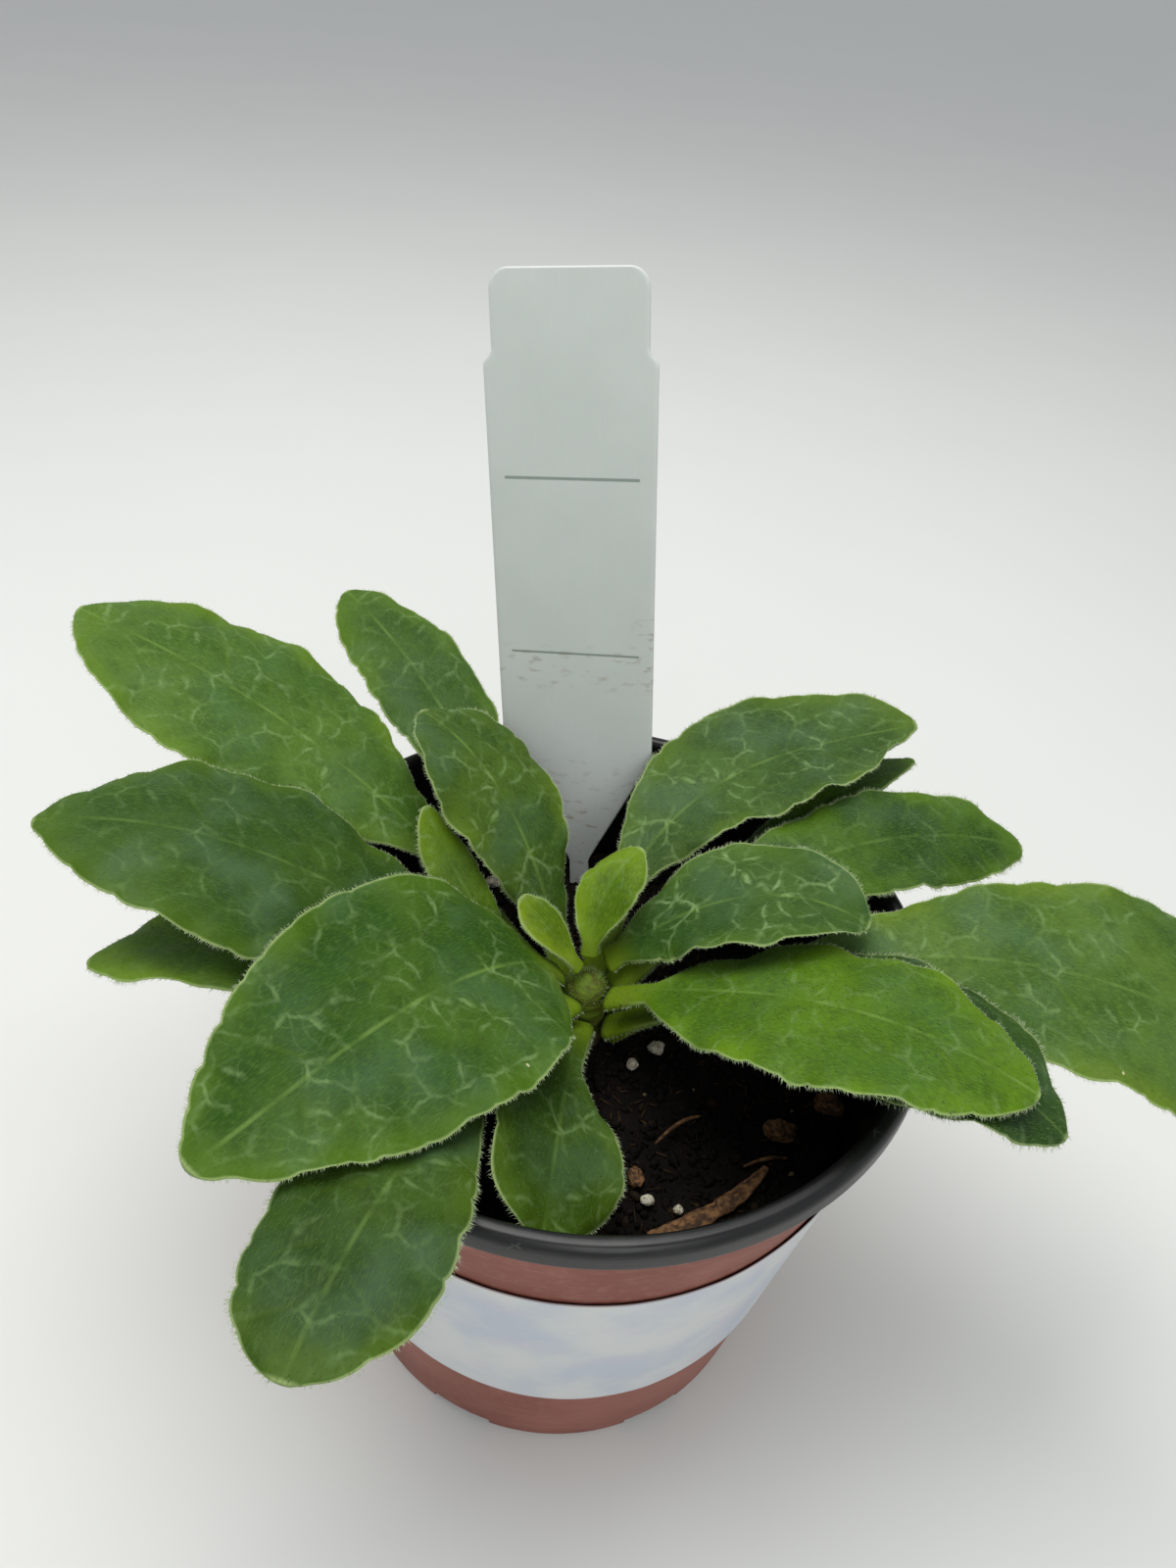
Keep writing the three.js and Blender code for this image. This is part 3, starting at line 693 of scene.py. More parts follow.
bark = Finish("bark", Specular_IOR_Level=0.3)
spot = bark.object_millimetres()
layers = bark.noise(bark.stretched(spot, (0.7, 0.7, 3.4)), 1, 6)
patches = bark.noise(spot, 0.6, 4)
colour = bark.layered(
    paint(60, 42, 28),
    (layers.smooth(0.38, 0.66), paint(132, 96, 60)),
    (patches.smooth(0.5, 0.7) * 0.6, paint(92, 62, 38)),
)
bark.dress(colour, 0.7 + layers * 0.2, layers + patches * 0.4, 0.35, 0.9)

for i, node in enumerate(sorted(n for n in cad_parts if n.startswith("perlite_"))):
    place(make_mesh(node + "_bead", *grain_solid(node, 0.16, 20 + i)), node, "perlite", chalk, sharp=180)
for i, node in enumerate(sorted(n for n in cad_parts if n.startswith("bark_chip_"))):
    place(make_mesh(node + "_piece", *grain_solid(node, 0.34, 40 + i)), node, "bark", bark, sharp=60)

# %% [markdown]
# A long strip of bark lies near the wall and curves with it, and two bent fibres rest on the mix.
# The strip is a closed sheet with torn edges carried round the pot's axis; the fibres are tapering tubes.

# %% Build the bark strip and the fibres
STRIP_RADIUS = 41.5
STRIP_START = -69  # degrees round from +X
STRIP_SWEEP = 34
STRIP_HALF_WIDTH = 1.65
turn, v = np.meshgrid(np.linspace(0, 1, 90), np.linspace(-1, 1, 17), indexing="ij")
torn = 1 + 0.16 * lumps(turn * 30, np.sign(v) * 4, 1.3, 8)
reach = STRIP_RADIUS + v * (STRIP_HALF_WIDTH - 0.9 * np.abs(2 * turn - 1) ** 2) * torn
angle = np.radians(STRIP_START + STRIP_SWEEP * turn)
middle = soil_height(STRIP_RADIUS) + 1.2 + 0.2 * lumps(turn * 30, v * 2, 2.5, 9) + 0.22 * v
crust = 0.5 * np.sqrt(1 - v**6) * (1 + 0.3 * lumps(turn * 40, v * 3, 1, 10))
under, top = (
    np.stack([reach * np.cos(angle), reach * np.sin(angle), middle + side * crust], -1)
    for side in (-1, 1)
)
strip_mesh = make_mesh("bark_strip_piece", *closed_sheet(under, top))
place(strip_mesh, "bark_strip", "bark", bark, sharp=180)


TWIG_INSET = 0.4  # from the node's box to the twig's axis


def twig_solid(node):
    """A tube along a shallow arch between two corners of the node's box, thinner at its ends."""
    low, high = (np.array(corner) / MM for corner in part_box(node))
    t = np.linspace(0, 1, 22)
    arch = np.sin(np.pi * t).clip(0)
    share = np.stack([t, np.clip(t + 0.1 * arch, 0, 1), arch**0.8], -1)
    path = low + TWIG_INSET + (high - low - 2 * TWIG_INSET) * share
    return tube(path, 0.14 + 0.22 * arch**0.5, 9)


for node in ("fibre_front", "fibre_right"):
    place(make_mesh(node + "_twig", *twig_solid(node)), node, "fibre", bark, sharp=180)

# %% [markdown]
# The stake tag is cut from thin pale plastic: a tongue in the mix, sloping shoulders and a rounded head.
# Its outline is a half width that depends on the height up the tag, so it is a closed sheet as a leaf is.
# It is left without words, with only two plain rules on its front, soil stains and fine scratches.

# %% Build the tag
TAG_TONGUE = 18  # long; heights on the tag are counted from its upper end
TAG_SHOULDER = 23.5
TAG_FLARE = 98
TAG_TOP = 113
TAG_CORNER = 3.6
TAG_THICKNESS = 0.8
corner_foot = TAG_TOP - TAG_CORNER
rounding = corner_foot + TAG_CORNER * np.sin(np.linspace(0.08, np.pi / 2, 14))
rise = np.concatenate([np.linspace(-TAG_TONGUE, corner_foot, 130), rounding])
outline = {-TAG_TONGUE: 2, 0: 2, TAG_SHOULDER: 15.1, TAG_FLARE: 15.7, TAG_FLARE + 1: 14.1}
half = np.interp(rise, list(outline), list(outline.values()))
head = np.clip((rise - corner_foot) / TAG_CORNER, 0, 1)
half = half - TAG_CORNER * (1 - np.sqrt(1 - head**2)) * 0.98
v = np.sin(np.linspace(-np.pi / 2, np.pi / 2, 39))
up, v = np.meshgrid(rise, v, indexing="ij")
across = half[:, None] * v
thick = TAG_THICKNESS / 2 * (1 - np.abs(v) ** 40) ** 0.5
thick = thick * np.clip((TAG_TOP - up) / 0.3 + 0.35, 0, 1)
TAG_PLACE = (-3, 40, 76.5)
TAG_TURN = -8  # degrees, about the vertical
TAG_LEAN = 13.5  # backwards
TAG_TILT = 9  # sideways, in its own plane
tag_axes = (
    Matrix.Translation(TAG_PLACE)
    @ Matrix.Rotation(math.radians(TAG_TURN), 4, "Z")
    @ Matrix.Rotation(math.radians(90 - TAG_LEAN), 4, "X")
    @ Matrix.Rotation(math.radians(TAG_TILT), 4, "Z")
)


def on_tag(out):
    """A point of the flat tag at a distance out of its middle plane, stood where the tag stands."""
    flat = np.stack([across - 2, up, out, np.ones_like(up)], -1)
    return (flat @ np.array(tag_axes).T)[..., :3]


points, quads, triangles = closed_sheet(on_tag(thick), on_tag(-thick))
plan = np.stack([across, up, 0 * up], -1)
plan = over_and_under(plan, plan + [0, 0, 9]).reshape(-1, 3)
plan = np.concatenate([plan, [[0, -TAG_TONGUE, 0], [0, TAG_TOP, 0]]])
tag_mesh = make_mesh("plant_tag_stake", points, quads, triangles, {"plan": plan})

tag_plastic = Finish("tag_plastic", Specular_IOR_Level=0.45, Subsurface_Weight=0.1)
tag_plastic.feed(tag_plastic.shader.inputs["Subsurface Scale"], 0.001)
plan = tag_plastic.attribute("plan", "Vector")
across, up, face = tag_plastic.split(plan)
haze = tag_plastic.noise(plan, 0.06, 3)
speckle = tag_plastic.noise(plan, 1.6, 5)
scratches = tag_plastic.noise(tag_plastic.stretched(plan, (2.2, 0.12, 1)), 1, 4)


def rule(at, width):
    """A line across the tag at a height, drawn as a mask."""
    return 1 - abs(up - at).smooth(width, width + 0.12)


on_front = (1 - abs(across).smooth(12.4, 12.6)) * (1 - face.smooth(1, 8))
rules = (rule(78, 0.22) + rule(45, 0.16)) * on_front
blotch = tag_plastic.noise(tag_plastic.stretched(plan, (0.3, 0.7, 1)), 1, 6).smooth(0.54, 0.7)
low_down = 1 - up.smooth(4, 30)
belt = up.smooth(36, 40) * (1 - up.smooth(43, 48))
side = across.smooth(10, 15) * up.smooth(38, 44) * (1 - up.smooth(50, 56))
dirt = blotch * (low_down + belt * 0.55 + side * 0.8) + low_down * speckle.smooth(0.6, 0.8) * 0.4
colour = tag_plastic.layered(
    paint(196, 203, 197),
    (haze, paint(212, 217, 212)),
    (scratches.smooth(0.58, 0.8) * 0.25, paint(222, 226, 222)),
    (rules * 0.75, paint(112, 128, 116)),
    (dirt * 0.6, paint(126, 100, 66)),
)
tag_plastic.dress(colour, 0.42 + dirt * 0.3, speckle * 0.4 + scratches * 0.3, 0.05, 0.6)
place(tag_mesh, "plant_tag", "tag_plastic", tag_plastic)

# %% [markdown]
# The crown is a stub of stem, rough with the scars of old leaves, and thick roots run down from it.
# It is a turned form with ringed scars, and the roots are tapering tubes that stay in the mix.

# %% Build the crown
STEM_FOOT = 60
STEM_TOP = 87
ROOTS = 5
FUZZ_HAIRS = 420
t = np.linspace(0, 1, 60)
dome = np.sqrt(1 - np.clip((t - 0.86) / 0.141, 0, 1) ** 2)
stem = np.interp(t, [0, 0.15, 0.86], [2.8, 4, 3.9]) * dome + 0.1 * np.sin(t * 70) * (t < 0.88)
heights = np.concatenate([[STEM_FOOT], STEM_FOOT + 26.7 * t, [STEM_TOP]])
solids = [turned(np.stack([np.concatenate([[0], stem, [0]]), heights], -1), 40)]
for i in range(ROOTS):
    turn = i / ROOTS * 2 * math.pi
    reach, depth = 24 + 4 * (i % 2), 34 + 5 * (i % 3)
    s = np.linspace(0, 1, 30)
    out = 1 + (reach - 1) * s**1.3
    swing = turn + 0.5 * s
    down = 66 - 8 * s - (66 - 8 - depth) * s**1.6
    solids.append(tube(np.stack([out * np.cos(swing), out * np.sin(swing), down], -1), 1.2 - 0.5 * s, 10))
rng = np.random.default_rng(61)
lean, turn = rng.uniform(0.1, 0.5, FUZZ_HAIRS) * np.pi, rng.uniform(0, 2 * np.pi, FUZZ_HAIRS)
out = np.stack([np.sin(lean) * np.cos(turn), np.sin(lean) * np.sin(turn), np.cos(lean)], -1)
roots = out * [3.7, 3.7, 3.5] + [0, 0, 83.1]
fuzz = spikes(roots, out + [0, 0, 0.4], rng.uniform(0.5, 1.2, FUZZ_HAIRS), 0.04, 62)
hairy = np.repeat([0, 1], [sum(len(points) for points, _, _ in solids), len(fuzz[0])])
solids.append(fuzz)
crown_mesh = make_mesh("crown_stem", *joined(*solids), {"hair": hairy})

stem_skin = Finish("stem_skin", Specular_IOR_Level=0.35)
spot = stem_skin.object_millimetres()
rings = stem_skin.noise(stem_skin.stretched(spot, (0.5, 0.5, 1.6)), 1, 5)
up = stem_skin.split(spot)[2]
colour = stem_skin.layered(
    paint(78, 84, 20),
    (rings.smooth(0.35, 0.65), paint(96, 120, 22)),
    (1 - up.smooth(70, 80), paint(66, 50, 30)),
    (stem_skin.attribute("hair"), paint(150, 170, 110)),
)
stem_skin.dress(colour, 0.6 + rings * 0.25, rings, 0.3, 0.8)
place(crown_mesh, "crown", "stem", stem_skin)

# %% [markdown]
# The leaves are the heart of the plant, and all are grown by one rule with different numbers.
# A midrib climbs from the crown and bends over; a blade widens from a thick stalk and narrows to its tip.
# The numbers are those of the CAD leaves, so each fine leaf lies on its frame.
# Angles are in degrees and sizes in millimetres; heading and rise are given along the midrib.

# %% The leaves of this plant
LEAF_KEYS = "around height heading rise length width stalk belly taper twist cup".split()
LEAVES = {
    "leaf_back_left_outer": (156, 73.5, (146, 174), (43, 26, 16), 115, 39, 0.31, 0.92, 0.63, (1, -3), -6),
    "leaf_back_upright": (107, 75, (126, 135), (37, 23, 1), 101, 22, 0.22, 1.07, 0.61, (0, 7), -3),
    "leaf_left_outer": (176, 77, (188, 192), (32, 36, -9), 95, 41, 0.2, 0.85, 0.74, (0, -2), -8),
    "leaf_back_left_inner": (131, 79.5, (119, 156), (46, 44, 8), 58, 28, 0.14, 1.1, 0.6, (0, -16), 0),
    "leaf_left_inner": (196, 81, (165, 134), (34, 42, 51), 42, 10, 0.16, 1, 0.6, (0, -8), -8),
    "leaf_front_left_broad": (193, 87.5, (229, 240), (56, 9, 9), 77, 43, 0.06, 0.55, 0.74, (11, 16), 16),
    "leaf_front_left_hanging": (241, 84, (242, 261), (21, 18, -5), 85, 27, 0.3, 1.3, 0.58, (1, -4), -8),
    "leaf_front_small": (266, 79, (267, 270), (37, 16, -16), 51, 25, 0.34, 1.16, 0.66, (1, 44), 14),
    "leaf_right_front": (325, 85, (-20, -27), (40, 22, -12), 74, 34, 0.12, 0.74, 0.59, (0, 10), -6),
    "leaf_right_front_under": (326, 77, (-9, -37), (43, 24, -24), 83, 33, 0.21, 0.82, 0.64, (0, 10), 3),
    "leaf_right_outer": (350, 73.5, (6, -11), (44, 10, -39), 126, 42, 0.22, 1.2, 0.53, (0, -11), 5),
    "leaf_right_inner": (53, 86, (19, -21), (46, 29, -20), 50, 26, 0.06, 0.76, 0.61, (0, 3), 15),
    "leaf_back_right_broad": (76, 78, (84, 1), (63, 14, 23), 89, 34, 0.2, 1, 0.61, (0, 7), 20),
    "leaf_right_middle": (26, 82, (34, 17), (45, 10, -24), 90, 23, 0.18, 0.91, 0.62, (0, -18), -2),
    "leaf_back_right_under": (53, 73.5, (43, 40), (40, 24, -9), 83, 9, 0.28, 0.95, 0.61, (0, 4), -5),
    "leaf_left_under": (228, 73.5, (194, 200), (32, 30, -19), 84, 23, 0.25, 0.88, 0.63, (0, -15), -7),
    "leaf_young_centre": (95, 90, (93, 42), (66, 38, 17), 22, 12, 0.08, 0.9, 0.61, (0, 15), -5),
    "leaf_bud": (190, 88.5, (163, 163), (50, 45, 40), 17, 8, 0.1, 0.85, 0.6, (0, 10), 20),
}
YOUNG = ("leaf_young_centre", "leaf_bud")  # they have thinner stalks, smaller teeth and finer hairs
print("leaves:", len(LEAVES))


# %% Carry a frame along the midrib
def resampled(path, at, where):
    """The points of a path that is known at some places, at other places between them."""
    return np.stack([np.interp(where, at, path[:, k]) for k in range(3)], -1)


def through_three(values, u):
    """The parabola through a value at the start, the middle and the end."""
    start, middle, end = values
    return start * (1 - u) * (1 - 2 * u) + middle * 4 * u * (1 - u) + end * u * (2 * u - 1)


def along_midrib(leaf, u):
    """The direction of the midrib, from its rise and heading, and the level direction square to it."""
    rise = np.radians(through_three(leaf["rise"], u))
    first, last = leaf["heading"]
    heading = np.radians(first + (last - first) * u)
    east, north = np.cos(heading), np.sin(heading)
    along = np.stack([np.cos(rise) * east, np.cos(rise) * north, np.sin(rise)], -1)
    return along, np.stack([north, -east, 0 * u], -1)


MIDRIB_STEPS = 480
LEAF_FOOT = 4.65  # from the axis to where a level leaf leaves the crown
YOUNG_FOOT = 1.8


def midrib(leaf, young, u):
    """Points, across and up along a midrib. A point is the running sum of the direction from the foot."""
    fine = np.linspace(0, 1, MIDRIB_STEPS + 1)
    steps = along_midrib(leaf, fine)[0]
    run = np.concatenate([[[0, 0, 0]], np.cumsum((steps[1:] + steps[:-1]) / 2, axis=0)])
    foot = YOUNG_FOOT if young else LEAF_FOOT + 1.4 * math.sin(math.radians(leaf["rise"][0]))
    turn = math.radians(leaf["around"])
    start = [foot * math.cos(turn), foot * math.sin(turn), leaf["height"]]
    point = resampled(run * leaf["length"] / MIDRIB_STEPS + start, fine, u)
    along, level = along_midrib(leaf, u)
    upright = np.cross(level, along)
    first, last = leaf["twist"]
    twist = np.radians(first + (last - first) * u)[:, None]
    across = np.cos(twist) * level + np.sin(twist) * upright
    return point, across, np.cross(across, along)


# %% [markdown]
# A blade is not flat between its margins. The midrib is a groove above and a keel below.
# Side veins leave it and curve towards the tip, and the fleshy blade bulges a little between them.
# The margin is cut into shallow rounded teeth and waves up and down.
# All of that is real geometry, so it shows at the outline and from every side.


# %% Shape a blade
BLADE_ROWS = 124
BLADE_COLUMNS = 47
VEIN_SPACING = 9
VEIN_LEAN = 0.55
VEIN_BEND = 0.014
STALK_RADIUS = 2.8
YOUNG_STALK_RADIUS = 1.6


def vein_phase(along, width, beside):
    """Counts the side veins: whole numbers lie on a vein. Veins bend forward as they near the margin."""
    return (along - width * VEIN_LEAN - width * width * VEIN_BEND) / VEIN_SPACING + beside


def blade(leaf, young, seed):
    """A leaf's two skins, how far along, across, from the margin and up the stalk points are, and its tip.

    The half width is a power of t times a power of 1 - t. A skin lies its relief and core off the midrib.
    """
    u = 1 - (1 - np.linspace(0, 1, BLADE_ROWS + 1)[:-1]) ** 1.35
    v = np.sin(np.linspace(-np.pi / 2, np.pi / 2, BLADE_COLUMNS))
    point, side, up = (a[:, None] for a in midrib(leaf, young, u))
    u, v = np.meshgrid(u, v, indexing="ij")
    t = np.clip((u - leaf["stalk"]) / (1 - leaf["stalk"]), 0, 1)
    widest = leaf["belly"] / (leaf["belly"] + leaf["taper"])
    outline = (t / widest) ** leaf["belly"] * ((1 - t) / (1 - widest)) ** leaf["taper"]
    stalk = (YOUNG_STALK_RADIUS if young else STALK_RADIUS) * np.sqrt(1 - u)
    half = np.hypot(stalk, leaf["width"] / 2 * outline)
    along = u * leaf["length"]
    in_blade = smooth_step(0.02, 0.2, t)
    scale = min(1, leaf["width"] / (14 if young else 24))
    hand = np.sign(v) * 3 + seed
    beat = (along + 2.6 * lumps(along, hand * 7, 8, seed)) / (5.6 * (0.6 + 0.4 * scale)) + 0.37 * hand
    tooth = np.abs(np.sin(np.pi * beat))
    depth = (0.42 + 0.4 * lumps(along, hand * 5, 9, seed + 1)) * in_blade * scale
    uneven = 0.5 + 0.5 * lumps(along, hand * 3, 13, seed + 2)
    half = half - depth * (1 - tooth) ** 1.6 - 0.7 * in_blade * scale * uneven
    short = (1 - u) * leaf["length"]
    bluntness = 4.5 * scale
    nose = np.sqrt(np.clip(short * (2 * bluntness - short), 0, None)) * (short < bluntness)
    half = np.maximum(np.maximum(half, nose * (0.9 + 0.08 * np.sin(hand))), 0.1)
    stalkness = np.maximum(0, 1 - u / (leaf["stalk"] + 0.25)) ** 2
    core = (0.62 + 0.65 * stalkness) * (0.8 if young else 1)
    core = core * (1 - 0.35 * smooth_step(0.6, 1, t))
    across = v * half
    w = np.abs(across)
    phase = vein_phase(along - leaf["stalk"] * leaf["length"], w, np.where(across > 0, 0.5, 0))
    nearest = np.abs(phase - np.round(phase)) * VEIN_SPACING
    span = smooth_step(1, 4, w) * smooth_step(0, 2.5, half - w) * in_blade
    relief = -0.1 * np.exp(-((nearest / 0.9) ** 2)) * span
    relief = relief + 0.1 * (1 - np.cos(2 * np.pi * phase)) * span
    relief = relief + 0.2 * lumps(along, across, 6, seed + 3) * span
    relief = relief - 0.32 * np.exp(-((across / 1.1) ** 2)) * in_blade * (1 - t) ** 0.4
    wave = np.sin(2 * np.pi * along / 21 + hand) * 0.8 + np.sin(2 * np.pi * along / 9.5 + 2 * hand) * 0.35
    relief = relief + wave * v**4 * in_blade * scale * (1 - smooth_step(0.9, 1, t))
    keel = 0.55 * np.exp(-((across / 1.1) ** 2)) * in_blade * (1 - t) ** 0.6
    bend = np.radians(leaf["cup"]) * np.minimum(1, 4 * t)
    reach, slope = half * np.abs(v), bend * np.abs(v)
    edge = np.sqrt(np.clip(1 - np.abs(v) ** 3, 0, 1))

    def skin(thick):
        sideways = np.sign(v) * (reach * np.cos(slope / 2) - thick * np.sin(slope))
        height = reach * np.sin(slope / 2) + thick * np.cos(slope)
        return point + side * sideways[..., None] + up * height[..., None]

    margin = np.minimum(half - w, (1 - u) * leaf["length"] * 0.6)
    tip = midrib(leaf, young, np.array([1.0]))[0][0]
    top, under = skin(relief + core * edge), skin(relief - (core + keel) * edge)
    return top, under, along, across, margin, stalkness, tip


# %% [markdown]
# Primulina leaves are velvety: short hairs lie over the blade, and longer ones fringe the margin.
# Hair particles would be lost when the model leaves Blender, so each hair is a thin spike of four faces.
# Their roots are spread by area, and they lean towards the tip and the margin as real ones do.


# %% Grow the hairs
FRINGE_DENSITY = 5.2  # hairs in a millimetre of margin


def unit(directions):
    """Each direction divided by its length, and left as it is where it has none."""
    return directions / np.maximum(np.linalg.norm(directions, axis=1, keepdims=True), 1e-9)


def hairs(top, under, young, density, longest, seed):
    """Spikes rooted at random points of the skins and along the margins, leaning out and to the tip."""
    rng = np.random.default_rng(seed)
    roots, leaning, lengths = [], [], []
    for skin, facing, share in ((top, 1, 1.0), (under, -1, 0.45)):
        a, b, c, d = skin[:-1, :-1], skin[1:, :-1], skin[:-1, 1:], skin[1:, 1:]
        normal = np.cross(c - a, b - a) * facing
        area = np.linalg.norm(normal, axis=-1)
        count = int(area.sum() * density * share)
        chosen = rng.choice(area.size, count, p=area.ravel() / area.sum())
        i, j = np.unravel_index(chosen, area.shape)
        s, r = rng.random((2, count, 1))
        spot = (a[i, j] * (1 - s) + b[i, j] * s) * (1 - r) + (c[i, j] * (1 - s) + d[i, j] * s) * r
        out = unit(normal[i, j])
        onward = unit(b[i, j] - a[i, j])
        roots.append(spot - out * 0.03)
        leaning.append(out * 0.75 + onward * 0.7 + rng.normal(size=(count, 3)) * 0.35)
        lengths.append(longest * rng.uniform(0.45, 0.85, count))
    for edge, inner in ((0, 1), (-1, -2)):
        line, within = top[:, edge], (top[:, inner] + under[:, inner]) / 2
        steps = np.linalg.norm(np.diff(line, axis=0), axis=1)
        run = np.concatenate([[0], np.cumsum(steps)])
        count = int(run[-1] * FRINGE_DENSITY)
        where = np.sort(rng.uniform(0, run[-1], count))
        spot = resampled(line, run, where)
        out = unit(spot - resampled(within, run, where))
        onward = unit(np.gradient(spot, axis=0))
        roots.append(spot - out * 0.05)
        leaning.append(out + onward * 0.45 + rng.normal(size=(count, 3)) * 0.3)
        lengths.append(longest * rng.uniform(0.6, 1.15, count))
    width = 0.032 if young else 0.042
    solid = spikes(*(np.concatenate(rows) for rows in (roots, leaning, lengths)), width, seed + 1)
    on_blade = len(roots[0]) + len(roots[1])
    return solid, np.repeat(np.arange(len(solid[0]) // 4) >= on_blade, 4)


print("leaf builders ready")

# %% [markdown]
# One leaf differs from the next in tone: some are deep blue-green, and the young ones fresh yellow-green.
# Over the green lies a broken silvery network, a pale midrib, a paler rim, and a few specks of peat.
# The patterns follow the blade's own plan, in millimetres along and across it, so they bend with the leaf.


# %% The leaf finish
VELVET = {"Sheen_Weight": 0.02, "Sheen_Roughness": 0.35, "Sheen_Tint": (0.75, 0.95, 0.8)}


def scaled(colour, *factors):
    """A colour with its red, green and blue multiplied, and held at 1."""
    return tuple(min(1, c * k) for c, k in zip(colour, factors))


def leaf_finish(name, deep, fresh, silver, bloom_and_sheen, rib):
    """Two greens, and how strong the silvery network, the painted bluish sheen and the midrib are."""
    leaf = Finish(name, Specular_IOR_Level=0.13, **VELVET)
    plan = leaf.attribute("plan", "Vector")
    along, across, skin = leaf.split(plan)
    margin, stalk = leaf.attribute("margin"), leaf.attribute("stalk")
    broad, medium, fine = leaf.noise(plan, 0.05, 3), leaf.noise(plan, 0.24, 4), leaf.noise(plan, 1.7, 5)
    jolt = leaf.noise(plan, 0.16, 3, "Color")
    warp = leaf.node("VectorMath", {"operation": "MULTIPLY_ADD"}, {0: jolt, 1: (5, 5, 0), 2: plan})
    wide_net = 1 - leaf.cells(warp, 0.16, "DISTANCE_TO_EDGE", "2D").smooth(0.01, 0.1)
    small_net = 1 - leaf.cells(warp, 0.36, "DISTANCE_TO_EDGE", "2D").smooth(0.01, 0.13)
    patches = leaf.noise(plan, 0.11, 4).smooth(0.4, 0.66)
    faded = leaf.noise(plan, 0.35, 3).smooth(0.3, 0.6)
    streaks = leaf.noise(leaf.stretched(plan, (0.9, 3.6, 1)), 1, 3)
    net = (wide_net * 0.95 + small_net * 0.3) * patches * faded * (0.4 + streaks)
    w = abs(across)
    beside = leaf.math("GREATER_THAN", across, 0.0) * 0.5
    phase = vein_phase(along, w, beside) + 0.5
    nearest = abs(leaf.math("FRACT", phase) - 0.5) * VEIN_SPACING
    veins = (1 - nearest.smooth(0.1, 0.9)) * w.smooth(0.8, 3) * medium.smooth(0.4, 0.7)
    onward = leaf.noise(leaf.stretched(plan, (1, 0.1, 1)), 0.09, 2).smooth(0.35, 0.6)
    middle = (1 - w.smooth(0.05, 0.55)) * (1 - stalk) * medium.smooth(0.25, 0.5) * onward
    rim = 1 - margin.smooth(0.1, 0.55)
    near_rim = 1 - margin.smooth(0.4, 5.5)
    speck = leaf.noise(plan, 0.7, 1).smooth(0.79, 0.8)
    pale_speck = leaf.noise(leaf.stretched(plan, (1.1, 0.6, 1)), 0.7, 0).smooth(0.9, 0.905)
    fresher = scaled(fresh, 1.5, 1.34, 0.6)
    streaky = tuple(min(1, c * 1.5 + 0.006) for c in fresh)
    painted_sheen_colour = tuple(c * 0.64 + h * 0.36 for c, h in zip(deep, paint(104, 134, 110)))
    colour = leaf.layered(
        deep,
        (broad.smooth(0.36, 0.64), fresh),
        (medium.smooth(0.42, 0.68) * 0.4, scaled(deep, 0.6, 0.6, 0.6)),
        (near_rim * broad.smooth(0.3, 0.6) * 0.8, fresher),
        # The hazy bluish patches are a painted sheen, a highlight laid into the leaf's colour.
        (leaf.noise(plan, 0.07, 4).smooth(0.45, 0.7) * bloom_and_sheen, painted_sheen_colour),
        (veins * 0.3, fresher),
        (net * silver, paint(132, 160, 104)),
        (middle * rib, paint(112, 142, 66)),
        (rim * 0.6, paint(160, 178, 118)),
        (streaks.smooth(0.45, 0.7) * 0.4, streaky),
        (skin.smooth(10, 30) * 0.75, paint(112, 136, 86)),
        (stalk.smooth(0.2, 0.85), paint(98, 122, 20)),
        (stalk.smooth(0.3, 0.9) * medium.smooth(0.55, 0.72) * 0.5, paint(84, 68, 30)),
        (stalk.smooth(0.3, 0.6) * fine.smooth(0.66, 0.7), paint(40, 30, 18)),
        (speck * 0.8, paint(58, 46, 30)),
        (pale_speck * 0.8, paint(196, 190, 150)),
    )
    relief = fine * 0.3 + streaks * 0.6 - net * 0.3 + medium * 0.4 - veins * 0.3
    return leaf.dress(colour, 0.45 + fine * 0.15 + net * 0.15, relief, 0.13, 0.6)


hair_finish = Finish("clear_hair", Roughness=0.4, Specular_IOR_Level=0.5)
spot = hair_finish.object_millimetres()
fringe = hair_finish.attribute("fringe")
short = hair_finish.mix(hair_finish.noise(spot, 0.2, 2), paint(84, 118, 48), paint(120, 150, 84))
hair_finish.dress(hair_finish.mix(fringe, short, paint(184, 200, 158)))

